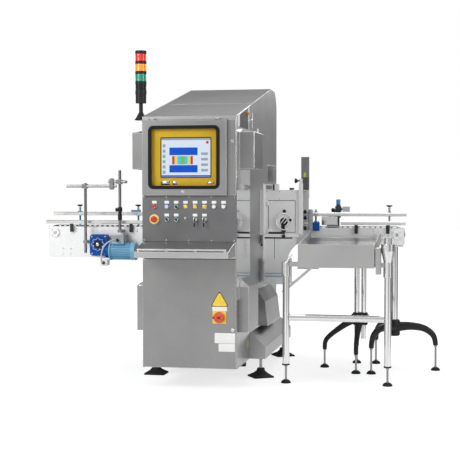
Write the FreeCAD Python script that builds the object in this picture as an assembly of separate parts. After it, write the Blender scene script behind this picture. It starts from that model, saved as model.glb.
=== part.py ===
import FreeCAD, Part
import math
import os

# X-ray inspection machine for food jars: an operator cabinet in front of a shielded tower, with a
# slat chain running through the tower along X, and a reject table at the outlet.
# Millimetres, +Z up. While it is modelled, X = 0 is the middle of the cabinet, Y = 0 its front face
# and Z = 0 the floor. save() then moves every piece so that the origin is under the middle of the part.

# Operator cabinet and tower
CABINET_WIDTH = 600.0
CABINET_DEPTH = 500.0
BODY_BOTTOM = 131.0
ROOF_FRONT_HEIGHT = 1711.0
ROOF_HEIGHT = 1996.0
ROOF_CREST_REACH = 1380.0
ROOF_CORNER_RADIUS = 150.0
ROOF_SEAM = 578.0
CREST_LENGTH = 130.0
TOWER_BACK = ROOF_CREST_REACH + CREST_LENGTH + ROOF_CORNER_RADIUS
REAR_LAP = 45.0
SHEET = 2.5
WALL = 3.0
DOOR_DEPTH = 21.0
FACE_GAP = 1.0
HALF = CABINET_WIDTH / 2
SHELL_FRONT = DOOR_DEPTH + FACE_GAP
FRAME_FLANGE = 12.0

# Base and feet
PLINTH_HALF_WIDTH = 403.0
PLINTH_EDGE_HEIGHT = 211.0
PLINTH_TOP = 302.0
PLINTH_MARGIN = 60.0
PLINTH_BACK = TOWER_BACK + PLINTH_MARGIN
FOOT_SPREAD = 722.0
FOOT_FRONT = 572.0
FOOT_REAR = PLINTH_BACK - 120.0
PAD_SIDE = 140.0
PAD_HEIGHT = 62.0
SPINDLE_RADIUS = 10.0
PAD_TURN = 32.0

# Doors and panels of the front
LOWER_DOOR_BOTTOM = 134.0
LOWER_DOOR_TOP = 817.0
PANEL_BOTTOM = 928.0
PANEL_TOP = 1215.0
UPPER_DOOR_TOP = 1687.0
HINGE_INSET = 6.0
HINGE_PIN_RADIUS = 4.0
RUNNING_CLEARANCE = 0.05
HMI_LEFT = -296.0
HMI_RIGHT = 243.0
HMI_DEPTH = 20.0
WINDOW_LEFT = -257.0
WINDOW_RIGHT = 200.0
WINDOW_BOTTOM = 1256.0
WINDOW_TOP = 1652.0
WINDOW_CORNER = 34.0
GASKET_WIDTH = 21.0
MONITOR_LEFT = -248.0
MONITOR_RIGHT = 196.0
MONITOR_BOTTOM = 1262.0
MONITOR_TOP = 1646.0
SCREEN_LEFT = -176.0
SCREEN_RIGHT = 138.0
SCREEN_BOTTOM = 1331.0
SCREEN_TOP = 1574.0
LATCH_RADIUS = 11.0

# Operating devices, 22 mm type
ROW_UPPER = 1147.0
ROW_LOWER = 1067.0
DEVICE_PITCH = 60.5
DEVICE_FIRST = -142.0
STOP_COLUMN = -222.0
COLLAR_RADIUS = 14.75
BARREL_RADIUS = 11.0
STEM_RADIUS = 8.0
PRESS_TRAVEL = 3.0
STOP_PLATE_RADIUS = 31.0
STOP_HEAD_RADIUS = 19.0
SWITCH_X = 196.0
SWITCH_HEIGHT = 457.0
SWITCH_PLATE = 86.0
SWITCH_KNOB_RADIUS = 35.0

# Keyboard tray
TRAY_REACH = 222.0
TRAY_HALF_WIDTH = 294.0
TRAY_BOTTOM = 836.0
TRAY_LIP_TOP = 873.0
TRAY_RAIL_RADIUS = 7.0

# Ventilation and exhaust hoods
UPPER_HOOD_REACH = 96.0
UPPER_HOOD_BOTTOM = 1384.0
UPPER_HOOD_TOP = 1640.0
LOWER_HOOD_REACH = 63.0
LOWER_HOOD_BOTTOM = 354.0
LOWER_HOOD_TOP = 690.0
HOOD_FRONT = 112.0
HOOD_LENGTH = 318.0
EXHAUST_FRONT = 786.0
EXHAUST_LENGTH = 564.0
EXHAUST_REACH = 76.0
EXHAUST_BOTTOM = 290.0
EXHAUST_TOP = 575.0

# Signal tower
SIGNAL_X = -335.0
SIGNAL_Y = 100.0
SIGNAL_FOOT = 1703.0
SIGNAL_RADIUS = 35.0
LENS_HEIGHT = 46.0
RING_HEIGHT = 18.0

# Conveyor
LINE_Y = 1080.0
LINE_HALF_LENGTH = 1300.0
CHAIN_TOP = 1000.0
CHAIN_WIDTH = 82.5
CHAIN_PITCH = 38.1
SLAT_TOP = 8.0
SLAT_PLATE = 3.6
KNUCKLE_DROP = 3.2
DRIVE_TEETH = 12
IDLER_TEETH = 8
TOOTH_CLEARANCE = 1.3
DRIVE_X = -881.0
DRIVE_Z = 864.0
SHAFT_RADIUS = 12.5
SIDE_PLATE = 5.0
SIDE_GAP = 8.0
SIDE_PLATE_TOP = 988.0
SIDE_PLATE_BOTTOM = 871.0
DRIVE_PLATE_BOTTOM = 763.0
DRIVE_PLATE_END = -600.0
BACK_BEND_RADIUS = 300.0
BACK_BEND_X = -560.0
RAIL_OFFSET = 80.0
FAR_RAIL_HEIGHT = 1080.0
NEAR_RAIL_HEIGHT = 1022.0
RAIL_THICKNESS = 10.0
RAIL_DEPTH = 26.0
EXIT_GAP_START = 622.0
EXIT_GAP_END = 852.0

# Tunnel guards
GUARD_REACH = 298.0
INFEED_GUARD_REACH = 230.0
GUARD_FRONT = 900.0
GUARD_REAR = 1262.0
GUARD_BOTTOM = 940.0
GUARD_TOP = 1253.0
GUARD_DOOR_LEFT = 362.0
GUARD_DOOR_RIGHT = 545.0
GUARD_DOOR_BOTTOM = 962.0
GUARD_DOOR_TOP = 1177.0
WHEEL_RADIUS = 61.0
WHEEL_RISE = 72.0
WHEEL_HEIGHT = GUARD_DOOR_BOTTOM + WHEEL_RISE
SIGHT_RISE = 72.0
GUARD_KNOB_X = 520.0
KNOB_STEM = 5.0

# Reject table and its stand
TABLE_LEFT = 645.0
TABLE_RIGHT = 1133.0
TABLE_FRONT = 300.0
TABLE_REAR = 1003.0
TABLE_FRONT_BOTTOM = 754.0
TABLE_FRONT_TOP = 903.0
TABLE_REAR_TOP = 962.0
STAND_Y = 359.0
STAND_SIDE_GAP = 83.0
STAND_TUBE = 22.5
CROSSBAR_HEIGHT = 427.0
STAND_FOOT_TOP = 124.0
STAND_PAD_RADIUS = 32.0

TRIPOD_X = 1222.0
TRIPOD_REACH = 285.0
TWIN_X = 985.0
TWIN_REACH = 250.0

# Pusher
PUSHER_X = 757.0
PUSHER_RISE = 34.0
PUSHER_HEIGHT = CHAIN_TOP + PUSHER_RISE
PUSHER_STROKE = 140.0

WALL_IN = HALF - WALL
ROOF_RISE = (ROOF_HEIGHT - ROOF_FRONT_HEIGHT) / ROOF_CREST_REACH
ORIGIN_X = (TRIPOD_X + TRIPOD_REACH + STAND_PAD_RADIUS - LINE_HALF_LENGTH) / 2
ORIGIN_Y = (PLINTH_BACK - TRAY_REACH) / 2
PITCH_LINE = CHAIN_TOP - SLAT_TOP
DRIVE_RADIUS = CHAIN_PITCH / (2 * math.sin(math.pi / DRIVE_TEETH))
IDLER_RADIUS = CHAIN_PITCH / (2 * math.sin(math.pi / IDLER_TEETH))
IDLER_X = LINE_HALF_LENGTH - IDLER_RADIUS - SLAT_TOP - 2.0
IDLER_Z = PITCH_LINE - IDLER_RADIUS
PLATE_INNER = CHAIN_WIDTH / 2 + SIDE_GAP
PLATE_OUTER = PLATE_INNER + SIDE_PLATE
BORE_RADIUS = SHAFT_RADIUS + RUNNING_CLEARANCE
STAND_LEFT = TABLE_LEFT - STAND_SIDE_GAP
STAND_RIGHT = TABLE_RIGHT + STAND_SIDE_GAP

# Latches, window door, drive, cable, brackets and supports
MAINS_X = 240.0
MAINS_Y = 300.0
MAINS_RADIUS = 16.25
LATCH_X = 279.0
LOWER_LATCH_Z = 380.0
UPPER_LATCH_Z = 1553.0
HMI_LATCH_X = -31.0
HMI_LATCH_Z = 1240.0
LATCH_STEM = 6.0
CAM_REACH = 15.5
HMI_CAM_REACH = 18.0
LATCH_BORE = LATCH_STEM + RUNNING_CLEARANCE
SWITCH_STEM = 7.0
SWITCH_BORE = SWITCH_STEM + RUNNING_CLEARANCE
HMI_HINGES = (-233.0, 183.0)
HMI_AXIS_Y = -9.0
HMI_AXIS_Z = UPPER_DOOR_TOP + 7.0
SQUARE = ((-1, -1), (1, -1), (1, 1), (-1, 1))
SLAT_GAP = 1.5
KNUCKLE_REACH = 19.0
JOINT_HOLE_RADIUS = 4.5
INFEED_JOINT_GAP = 150.0
OUTFEED_JOINT_GAP = 140.0
INFEED_JOINT = (INFEED_JOINT_GAP - LINE_HALF_LENGTH, 805.0, 60.0, 40.0)
OUTFEED_JOINT = (LINE_HALF_LENGTH - OUTFEED_JOINT_GAP, 922.0, 40.0, 25.0)
SPACER_END_GAP = 220.0
END_SPACER = LINE_HALF_LENGTH - SPACER_END_GAP
SPACERS = (-END_SPACER, -620.0, -210.0, 210.0, 620.0, END_SPACER)
GEARBOX_FRONT = LINE_Y - 176.0
GEARBOX_SEAT = LINE_Y - PLATE_OUTER
GEARBOX_BACK = GEARBOX_SEAT - 34.0
GEARBOX_HALF_X = 65.0
GEARBOX_TOP = 935.0
GEARBOX_BOTTOM = 781.0
MOTOR_Z = 815.0
MOTOR_RADIUS = 62.0
MOTOR_END = -604.0
GEARBOX_MID = (GEARBOX_FRONT + 22 + GEARBOX_BACK) / 2
CABLE_RADIUS = 5.0
CABLE_START = (-735.0, GEARBOX_MID - 64.0, MOTOR_Z + MOTOR_RADIUS + 18)
CABLE_ROUTE = [CABLE_START, (-735.0, 846.0, 896.0), (-764.0, 818.0, 893.0), (-802.0, 808.0, 862.0),
               (-822.0, 812.0, 815.0), (-832.0, 830.0, 768.0), (-838.0, 866.0, 737.0),
               (-838.0, 905.0, 733.0)]
BRACKETS = (-1110.0, -661.0, 655.0, 1178.0)
NEAR_CLIPS = (-1110.0, -661.0, 960.0, 1178.0)
SLEEVE_RADIUS = 29.0
TRIPOD_ANGLES = (120.0, 240.0, 0.0)
TWIN_ANGLES = (180.0, 268.0, 100.0)
CURVED_ARM_FOOT = 176.0
STRAIGHT_ARM_FOOT = 130.0
REGULATOR = (PUSHER_X + 47.0, LINE_Y + 250.0, PUSHER_HEIGHT + 116.0)

V = FreeCAD.Vector


def box(x0, x1, y0, y1, z0, z1):
    return Part.makeBox(x1 - x0, y1 - y0, z1 - z0, V(x0, y0, z0))


def rod(start, end, radius):
    a = V(*start)
    b = V(*end)
    return Part.makeCylinder(radius, (b - a).Length, a, b - a)


def tube(start, end, outer, inner):
    return rod(start, end, outer).cut(rod(start, end, inner))


def cone(start, end, r_start, r_end):
    a = V(*start)
    b = V(*end)
    return Part.makeCone(r_start, r_end, (b - a).Length, a, b - a)


def prism(points, sweep):
    wire = Part.makePolygon([V(*p) for p in points] + [V(*points[0])])
    return Part.Face(wire).extrude(V(*sweep))


def prism_along_y(points, y0, y1):
    return prism([(x, y0, z) for x, z in points], (0, y1 - y0, 0))


def prism_along_x(points, x0, x1):
    return prism([(x0, y, z) for y, z in points], (x1 - x0, 0, 0))


def rounded_plate(x0, x1, z0, z1, radius, y0, y1):
    plate = box(x0, x1, y0, y1, z0, z1)
    corners = [e for e in plate.Edges if abs(e.Vertexes[0].Y - e.Vertexes[-1].Y) > (y1 - y0) / 2]
    return plate.makeFillet(radius, corners)


def fuse(shapes):
    result = shapes[0].fuse(shapes[1:]) if len(shapes) > 1 else shapes[0]
    return result.removeSplitter()


def mirror_x(shape):
    return shape.mirror(V(0, 0, 0), V(1, 0, 0))


def turned(shape, centre, axis, degrees):
    copy = shape.copy()
    copy.rotate(V(*centre), V(*axis), degrees)
    return copy


def save(name, shapes):
    solids = []
    for shape in shapes:
        solids.extend(shape.Solids)
    moved = Part.Compound([s.translated(V(-ORIGIN_X, -ORIGIN_Y, 0)) for s in solids])
    moved.exportStep("parts/" + name + ".step")


def envelope(inset, half_width):
    # Side outline of cabinet and tower: sloped roof, level crest, rounded rear corner.
    slope = math.hypot(1.0, ROOF_RISE)
    front = ROOF_FRONT_HEIGHT - inset * slope
    top = ROOF_HEIGHT - inset
    crest = (top - front) / ROOF_RISE
    back = TOWER_BACK - inset
    radius = ROOF_CORNER_RADIUS - inset
    x = -half_width
    middle = V(x, back - radius * (1 - math.sin(math.pi / 4)), top - radius * (1 - math.cos(math.pi / 4)))
    points = [V(x, back, BODY_BOTTOM), V(x, inset, BODY_BOTTOM), V(x, inset, front + inset * ROOF_RISE),
              V(x, crest, top), V(x, back - radius, top)]
    edges = [Part.LineSegment(a, b).toShape() for a, b in zip(points, points[1:])]
    corner_end = V(x, back, top - radius)
    edges.append(Part.Arc(points[-1], middle, corner_end).toShape())
    edges.append(Part.LineSegment(corner_end, points[0]).toShape())
    return Part.Face(Part.Wire(edges)).extrude(V(2 * half_width, 0, 0))


def rear_wall_top():
    return ROOF_HEIGHT - ROOF_CORNER_RADIUS - REAR_LAP


def roof_panels():
    sheet = envelope(0, HALF).cut(envelope(SHEET, HALF + 1))
    front = sheet.common(box(-HALF, HALF, -1, ROOF_SEAM - 0.5, UPPER_DOOR_TOP + 1.5, ROOF_HEIGHT))
    rear = sheet.common(box(-HALF, HALF, ROOF_SEAM, TOWER_BACK, rear_wall_top(), ROOF_HEIGHT + 1))
    return [front, rear]


def cabinet_shell():
    body = envelope(SHEET, HALF).common(box(-HALF, HALF, SHELL_FRONT, CABINET_DEPTH, BODY_BOTTOM,
                                            ROOF_HEIGHT))
    inner = box(-HALF + SHEET, HALF - SHEET, SHELL_FRONT + SHEET, CABINET_DEPTH - SHEET,
                BODY_BOTTOM + SHEET, ROOF_HEIGHT + 1)
    body = body.cut(inner)
    side = HALF - FRAME_FLANGE
    for low, high in ((LOWER_DOOR_BOTTOM + 30, LOWER_DOOR_TOP - 30), (PANEL_BOTTOM + 22, PANEL_TOP - 22),
                      (PANEL_TOP + 30, UPPER_DOOR_TOP - 25)):
        body = body.cut(box(-side, side, SHELL_FRONT - 1, SHELL_FRONT + SHEET + 1, low, high))
    body = body.cut(rod((MAINS_X, MAINS_Y, BODY_BOTTOM - 1), (MAINS_X, MAINS_Y,
                                                              BODY_BOTTOM + SHEET + 1), MAINS_RADIUS))
    pieces = [body]
    for low, high, pin_low, pin_high in hinge_tabs():
        tab = box(-HALF, -HALF + 14, 0, SHELL_FRONT, low, high)
        pin = rod((hinge_x(), HINGE_INSET, pin_low), (hinge_x(), HINGE_INSET, pin_high), HINGE_PIN_RADIUS)
        pieces += [tab, pin]
    return fuse(pieces)


def hinge_x():
    return -HALF + HINGE_INSET


def hinge_tabs():
    # Lugs on the cabinet's left front corner, with the door pins that stand on them.
    low = BODY_BOTTOM
    return [(low, LOWER_DOOR_BOTTOM - 0.4, low, LOWER_DOOR_BOTTOM + 14),
            (LOWER_DOOR_TOP + 0.4, LOWER_DOOR_TOP + 6, LOWER_DOOR_TOP - 14, LOWER_DOOR_TOP + 6)]


def door_pan(x0, x1, z0, z1, y0, y1):
    pan = box(x0, x1, y0, y1, z0, z1)
    return pan.cut(box(x0 + 2, x1 - 2, y0 + 2, y1 + 1, z0 + 2, z1 - 2))


def hinge_boss(low, high):
    block = box(-HALF + 1.5, -HALF + 13, 1, DOOR_DEPTH - 6, low, high)
    return block


def hinge_bore(low, high):
    return rod((hinge_x(), HINGE_INSET, low), (hinge_x(), HINGE_INSET, high),
               HINGE_PIN_RADIUS + RUNNING_CLEARANCE)


def lower_door():
    pan = door_pan(-HALF + 1.5, HALF - 1.5, LOWER_DOOR_BOTTOM, LOWER_DOOR_TOP, 0, DOOR_DEPTH)
    low = LOWER_DOOR_BOTTOM
    high = LOWER_DOOR_TOP
    pan = fuse([pan, hinge_boss(low + 0.5, low + 20), hinge_boss(high - 20, high - 0.5)])
    pan = pan.cut(hinge_bore(low - 1, low + 16))
    pan = pan.cut(hinge_bore(high - 16, high + 1))
    guide = rod((LATCH_X, 0.5, LOWER_LATCH_Z), (LATCH_X, 14, LOWER_LATCH_Z), 10)
    shaft_guide = rod((SWITCH_X, 0.5, SWITCH_HEIGHT), (SWITCH_X, 16, SWITCH_HEIGHT), 12)
    pan = fuse([pan, guide, shaft_guide])
    pan = pan.cut(rod((LATCH_X, -1, LOWER_LATCH_Z), (LATCH_X, 15, LOWER_LATCH_Z), LATCH_BORE))
    return pan.cut(rod((SWITCH_X, -1, SWITCH_HEIGHT), (SWITCH_X, 17, SWITCH_HEIGHT), SWITCH_BORE))


def quarter_turn_latch(x, z, front, stem, cam):
    # Round slotted head, stem through the panel and a cam that hangs clear of its keeper when open.
    head = rod((x, front - 5, z), (x, front - 0.3, z), LATCH_RADIUS)
    head = head.cut(box(x - 7, x + 7, front - 6, front - 3, z - 1.5, z + 1.5))
    shaft = rod((x, front - 1, z), (x, front + stem, z), LATCH_STEM)
    arm = box(x - 7, x + 7, front + stem - 3, front + stem, z - cam, z + 9)
    return fuse([head, shaft, arm])


def upper_door():
    pan = door_pan(-HALF + 1.5, HALF - 1.5, PANEL_TOP + 2, UPPER_DOOR_TOP, 0, DOOR_DEPTH)
    low = PANEL_TOP + 2
    high = UPPER_DOOR_TOP
    pan = fuse([pan, hinge_boss(low + 0.5, low + 20), hinge_boss(high - 20, high - 0.5),
                rod((LATCH_X, 0.5, UPPER_LATCH_Z), (LATCH_X, 14, UPPER_LATCH_Z), 10)])
    pan = pan.cut(hinge_bore(low - 1, low + 16))
    pan = pan.cut(hinge_bore(high - 16, high + 1))
    pan = pan.cut(rod((LATCH_X, -1, UPPER_LATCH_Z), (LATCH_X, 15, UPPER_LATCH_Z), LATCH_BORE))
    pan = pan.cut(box(MONITOR_LEFT - 0.3, MONITOR_RIGHT + 0.3, -1, 3, MONITOR_BOTTOM - 0.3,
                      MONITOR_TOP + 0.3))
    lugs = []
    for x in HMI_HINGES:
        for start, end in ((x - 22, x - 10.3), (x + 10.3, x + 22)):
            lugs.append(hinge_knuckle(start, end))
        lugs.append(rod((x - 16, HMI_AXIS_Y, HMI_AXIS_Z), (x + 16, HMI_AXIS_Y, HMI_AXIS_Z), 2.5))
    return fuse([pan, latch_keeper()] + lugs)


def latch_keeper():
    # Hooked strip on the door face that the window door's cam turns behind.
    x = HMI_LATCH_X
    z = HMI_LATCH_Z
    post = box(x + 20.5, x + 24, -11, 1, z - 9, z + 9)
    return post.fuse(box(x + 11.5, x + 24, -11, -8, z - 9, z + 9))


def hinge_knuckle(start, end):
    barrel = rod((start, HMI_AXIS_Y, HMI_AXIS_Z), (end, HMI_AXIS_Y, HMI_AXIS_Z), 5.5)
    leaf = prism_along_x([(HMI_AXIS_Y + 3, HMI_AXIS_Z - 3), (1, UPPER_DOOR_TOP - 9),
                          (1, UPPER_DOOR_TOP - 1), (HMI_AXIS_Y + 3, HMI_AXIS_Z + 3)], start, end)
    return barrel.fuse(leaf)


def hmi_door():
    # Raised frame round the window, hung from two short hinges along its top edge.
    low = PANEL_TOP + 3
    high = UPPER_DOOR_TOP - 1
    pan = door_pan(HMI_LEFT, HMI_RIGHT, low, high, -HMI_DEPTH, -0.6)
    window = rounded_plate(WINDOW_LEFT + 8, WINDOW_RIGHT - 8, WINDOW_BOTTOM + 8, WINDOW_TOP - 8,
                           WINDOW_CORNER - 8, -HMI_DEPTH - 1, 1)
    pan = pan.cut(window)
    for x in HMI_HINGES:
        pan = pan.cut(box(x - 23, x + 23, HMI_AXIS_Y - 7, 0, high - 16, high + 1))
    pan = fuse([pan, rod((HMI_LATCH_X, -HMI_DEPTH + 0.5, HMI_LATCH_Z), (HMI_LATCH_X, -9, HMI_LATCH_Z),
                         10)])
    pan = pan.cut(rod((HMI_LATCH_X, -HMI_DEPTH - 1, HMI_LATCH_Z), (HMI_LATCH_X, -8, HMI_LATCH_Z),
                      LATCH_BORE))
    pieces = [pan]
    for x in HMI_HINGES:
        barrel = rod((x - 10, HMI_AXIS_Y, HMI_AXIS_Z), (x + 10, HMI_AXIS_Y, HMI_AXIS_Z), 5.5)
        arm = box(x - 10, x + 10, -HMI_DEPTH, -HMI_DEPTH + 3, high - 18, HMI_AXIS_Z)
        bridge = box(x - 10, x + 10, -HMI_DEPTH, HMI_AXIS_Y, HMI_AXIS_Z - 2, HMI_AXIS_Z + 2)
        piece = barrel.fuse([arm, bridge])
        pin_space = rod((x - 11, HMI_AXIS_Y, HMI_AXIS_Z), (x + 11, HMI_AXIS_Y, HMI_AXIS_Z),
                        2.5 + RUNNING_CLEARANCE)
        pieces.append(piece.cut(pin_space))
    return fuse(pieces)


def window_gasket():
    outer = rounded_plate(WINDOW_LEFT, WINDOW_RIGHT, WINDOW_BOTTOM, WINDOW_TOP, WINDOW_CORNER,
                          -HMI_DEPTH - 4, -HMI_DEPTH)
    back = rounded_plate(WINDOW_LEFT + 8, WINDOW_RIGHT - 8, WINDOW_BOTTOM + 8, WINDOW_TOP - 8,
                         WINDOW_CORNER - 8, -HMI_DEPTH, -HMI_DEPTH + 6)
    inner = rounded_plate(WINDOW_LEFT + GASKET_WIDTH, WINDOW_RIGHT - GASKET_WIDTH,
                          WINDOW_BOTTOM + GASKET_WIDTH, WINDOW_TOP - GASKET_WIDTH,
                          WINDOW_CORNER - GASKET_WIDTH, -HMI_DEPTH - 5, -HMI_DEPTH + 7)
    return outer.fuse(back).cut(inner)


def window_pane():
    return rounded_plate(WINDOW_LEFT + GASKET_WIDTH, WINDOW_RIGHT - GASKET_WIDTH,
                         WINDOW_BOTTOM + GASKET_WIDTH, WINDOW_TOP - GASKET_WIDTH,
                         WINDOW_CORNER - GASKET_WIDTH, -HMI_DEPTH - 1, -HMI_DEPTH + 3)


def operator_screen():
    bezel = box(MONITOR_LEFT, MONITOR_RIGHT, -0.4, 5, MONITOR_BOTTOM, MONITOR_TOP)
    recess = box(SCREEN_LEFT, SCREEN_RIGHT, -1, 1.6, SCREEN_BOTTOM, SCREEN_TOP)
    case = box(SCREEN_LEFT - 20, SCREEN_RIGHT + 20, 4, 58, SCREEN_BOTTOM - 20, SCREEN_TOP + 30)
    return fuse([bezel, case]).cut(recess)


def device_columns(count):
    return [DEVICE_FIRST + i * DEVICE_PITCH for i in range(count)]


def control_panel():
    pan = door_pan(-HALF, HALF, PANEL_BOTTOM, PANEL_TOP, 0, SHELL_FRONT)
    for x, z in device_places():
        pan = pan.cut(rod((x, -1, z), (x, 3, z), BARREL_RADIUS + 0.15))
    return pan


def device_places():
    upper = [(STOP_COLUMN, ROW_UPPER)] + [(x, ROW_UPPER) for x in device_columns(7)]
    fitted = [x for x in device_columns(5) if abs(x - pilot_hole()) > 1]
    lower = [(x, ROW_LOWER) for x in [STOP_COLUMN] + fitted]
    return upper + lower


def pilot_hole():
    return DEVICE_FIRST + 2 * DEVICE_PITCH


def device_collars():
    # One threaded barrel with its front collar for each device; the stop button's is a wide plate.
    collars = []
    for x, z in device_places():
        barrel = rod((x, 0, z), (x, 24, z), BARREL_RADIUS)
        is_stop = x == STOP_COLUMN and z == ROW_LOWER
        collar = rod((x, -2.5, z), (x, 0, z), STOP_PLATE_RADIUS if is_stop else COLLAR_RADIUS)
        piece = barrel.fuse(collar)
        collars.append(piece.cut(rod((x, -3, z), (x, 25, z), STEM_RADIUS + RUNNING_CLEARANCE)))
    return collars


def push_button(x, z, head_radius, head_depth):
    stem = rod((x, -7, z), (x, 22, z), STEM_RADIUS)
    head = rod((x, -6 - head_depth, z), (x, -6, z), head_radius)
    rim = [e for e in head.Edges if e.Vertexes[0].Y < -6 - head_depth / 2 and len(e.Vertexes) == 1]
    head = head.makeFillet(min(3.0, head_depth * 0.6), rim)
    return head.fuse(stem)


def indicator_lamp(x, z):
    dome = Part.makeSphere(15, V(x, 6, z)).common(rod((x, -9, z), (x, -2.7, z), 12.5))
    return dome.fuse(rod((x, -4, z), (x, 20, z), STEM_RADIUS - 0.3))


def selector(x, z):
    disc = rod((x, -7, z), (x, -3, z), 12.5)
    grip = box(x - 4, x + 4, -20, -6, z - 12, z + 12)
    stem = rod((x, -5, z), (x, 22, z), STEM_RADIUS)
    return turned(fuse([disc, grip, stem]), (x, 0, z), (0, 1, 0), -20)


def key_switch(x, z):
    rotor = rod((x, -6, z), (x, -3, z), 12.5)
    stem = rod((x, -5, z), (x, 22, z), STEM_RADIUS)
    blade = box(x - 1.2, x + 1.2, -20, -5, z - 4, z + 4)
    bow = box(x - 1.6, x + 1.6, -42, -19, z - 13, z + 13)
    edges = [e for e in bow.Edges if abs(e.Vertexes[0].X - e.Vertexes[-1].X) > 2]
    return fuse([rotor, stem, blade, bow.makeFillet(7, edges)])


def keyboard_tray():
    # Wedge-shaped folded tray: sloped top sheet, two cheeks, a front lip and a wrist rail on posts.
    side = [(0, PANEL_BOTTOM - 1), (-TRAY_REACH, TRAY_LIP_TOP), (-TRAY_REACH, TRAY_BOTTOM),
            (0, TRAY_BOTTOM)]
    body = prism_along_x(side, -TRAY_HALF_WIDTH, TRAY_HALF_WIDTH)
    hollow = [(5, PANEL_BOTTOM - 1 - SHEET), (-TRAY_REACH + SHEET, TRAY_LIP_TOP - SHEET),
              (-TRAY_REACH + SHEET, TRAY_BOTTOM - 1), (5, TRAY_BOTTOM - 1)]
    body = body.cut(prism_along_x(hollow, -TRAY_HALF_WIDTH + SHEET, TRAY_HALF_WIDTH - SHEET))
    rail_y = -TRAY_REACH + 10
    rail_z = TRAY_LIP_TOP + 12
    rail_end = TRAY_HALF_WIDTH - 16
    pieces = [body, rod((-rail_end, rail_y, rail_z), (rail_end, rail_y, rail_z), TRAY_RAIL_RADIUS)]
    for i in range(4):
        x = -rail_end + 8 + i * (2 * rail_end - 16) / 3
        pieces.append(box(x - 6, x + 6, rail_y - 5, rail_y + 5, TRAY_LIP_TOP - 2, rail_z))
    apron = box(-HALF, HALF, 0, SHELL_FRONT, LOWER_DOOR_TOP + 8, PANEL_BOTTOM - 1)
    pieces.append(apron)
    return fuse(pieces)


def main_switch_plate():
    half = SWITCH_PLATE / 2
    plate = rounded_plate(SWITCH_X - half, SWITCH_X + half, SWITCH_HEIGHT - half + 4,
                          SWITCH_HEIGHT + half - 4, 5, -9, 0)
    return plate.cut(rod((SWITCH_X, -10, SWITCH_HEIGHT), (SWITCH_X, 1, SWITCH_HEIGHT), SWITCH_BORE))


def main_switch_knob():
    x = SWITCH_X
    z = SWITCH_HEIGHT
    disc = rod((x, -19, z), (x, -9.4, z), SWITCH_KNOB_RADIUS)
    grip = box(x - 40, x + 27, -34, -18, z - 8, z + 8)
    edges = [e for e in grip.Edges if abs(e.Vertexes[0].Y - e.Vertexes[-1].Y) > 8]
    stem = rod((x, -12, z), (x, 30, z), SWITCH_STEM)
    return fuse([disc, grip.makeFillet(6, edges), stem])


def tower_walls():
    # Two side walls with the tunnel opening for the line, and the rear wall between them.
    span = box(-HALF, HALF, CABINET_DEPTH, TOWER_BACK, PLINTH_TOP, ROOF_HEIGHT)
    solid = envelope(SHEET, HALF).common(span)
    right = solid.common(box(WALL_IN, HALF, 0, TOWER_BACK, 0, ROOF_HEIGHT))
    window = box(WALL_IN - 1, HALF + 1, GUARD_FRONT + 30, GUARD_REAR - 30, SIDE_PLATE_BOTTOM - 12,
                 GUARD_TOP - 12)
    right = right.cut(window)
    rear = box(-HALF, HALF, TOWER_BACK - WALL, TOWER_BACK, PLINTH_TOP, rear_wall_top())
    ties = []
    for z in (PLINTH_TOP, 760.0, 1500.0):
        for y in (CABINET_DEPTH + 60, TOWER_BACK - 60):
            ties.append(box(-WALL_IN, WALL_IN, y - 20, y + 20, z, z + 40))
    return fuse([right, mirror_x(right), rear] + ties)


def base_plinth():
    def outline(inset):
        edge = PLINTH_HALF_WIDTH - inset
        return [(-edge, BODY_BOTTOM - (1 if inset else 0)), (edge, BODY_BOTTOM - (1 if inset else 0)),
                (edge, PLINTH_EDGE_HEIGHT - inset * 0.6), (HALF + 3 - inset * 0.4, PLINTH_TOP - inset),
                (-HALF - 3 + inset * 0.4, PLINTH_TOP - inset), (-edge, PLINTH_EDGE_HEIGHT - inset * 0.6)]
    thick = 4.0
    body = prism_along_y(outline(0), CABINET_DEPTH, PLINTH_BACK)
    body = body.cut(prism_along_y(outline(thick), CABINET_DEPTH + thick, PLINTH_BACK - thick))
    pieces = [body]
    for y in (FOOT_FRONT, FOOT_REAR):
        rail = box(-PLINTH_HALF_WIDTH + thick / 2, PLINTH_HALF_WIDTH - thick / 2, y - 40, y + 40,
                   BODY_BOTTOM, BODY_BOTTOM + 12)
        for x in (-FOOT_SPREAD / 2, FOOT_SPREAD / 2):
            rail = rail.cut(rod((x, y, BODY_BOTTOM - 1), (x, y, BODY_BOTTOM + 20), SPINDLE_RADIUS + 1))
        pieces.append(rail)
    return fuse(pieces)


def machine_feet():
    feet = []
    for x in (-FOOT_SPREAD / 2, FOOT_SPREAD / 2):
        for y in (FOOT_FRONT, FOOT_REAR):
            half = PAD_SIDE / 2
            base = box(x - half, x + half, y - half, y + half, 0, 12)
            lower = [V(x + sx * half * 0.92, y + sy * half * 0.92, 12) for sx, sy in SQUARE]
            upper = [V(x + sx * half * 0.52, y + sy * half * 0.52, 44) for sx, sy in SQUARE]
            rise = Part.makeLoft([closed(lower), closed(upper)], True)
            boss = rod((x, y, 40), (x, y, PAD_HEIGHT), 26)
            pad = fuse([base, rise, boss])
            angle = PAD_TURN if x > 0 else 0
            spindle = rod((x, y, PAD_HEIGHT - 2), (x, y, BODY_BOTTOM + 24), SPINDLE_RADIUS)
            nuts = [hexagon(x, y, BODY_BOTTOM - 12, BODY_BOTTOM, 16),
                    hexagon(x, y, BODY_BOTTOM + 12, BODY_BOTTOM + 22, 16)]
            feet.append(fuse([turned(pad, (x, y, 0), (0, 0, 1), angle), spindle] + nuts))
    return feet


def closed(points):
    return Part.makePolygon(points + [points[0]])


def hexagon(x, y, z0, z1, radius):
    points = []
    for i in range(6):
        angle = math.radians(60 * i)
        points.append((x + radius * math.cos(angle), y + radius * math.sin(angle), z0))
    return prism(points, (0, 0, z1 - z0))


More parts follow.
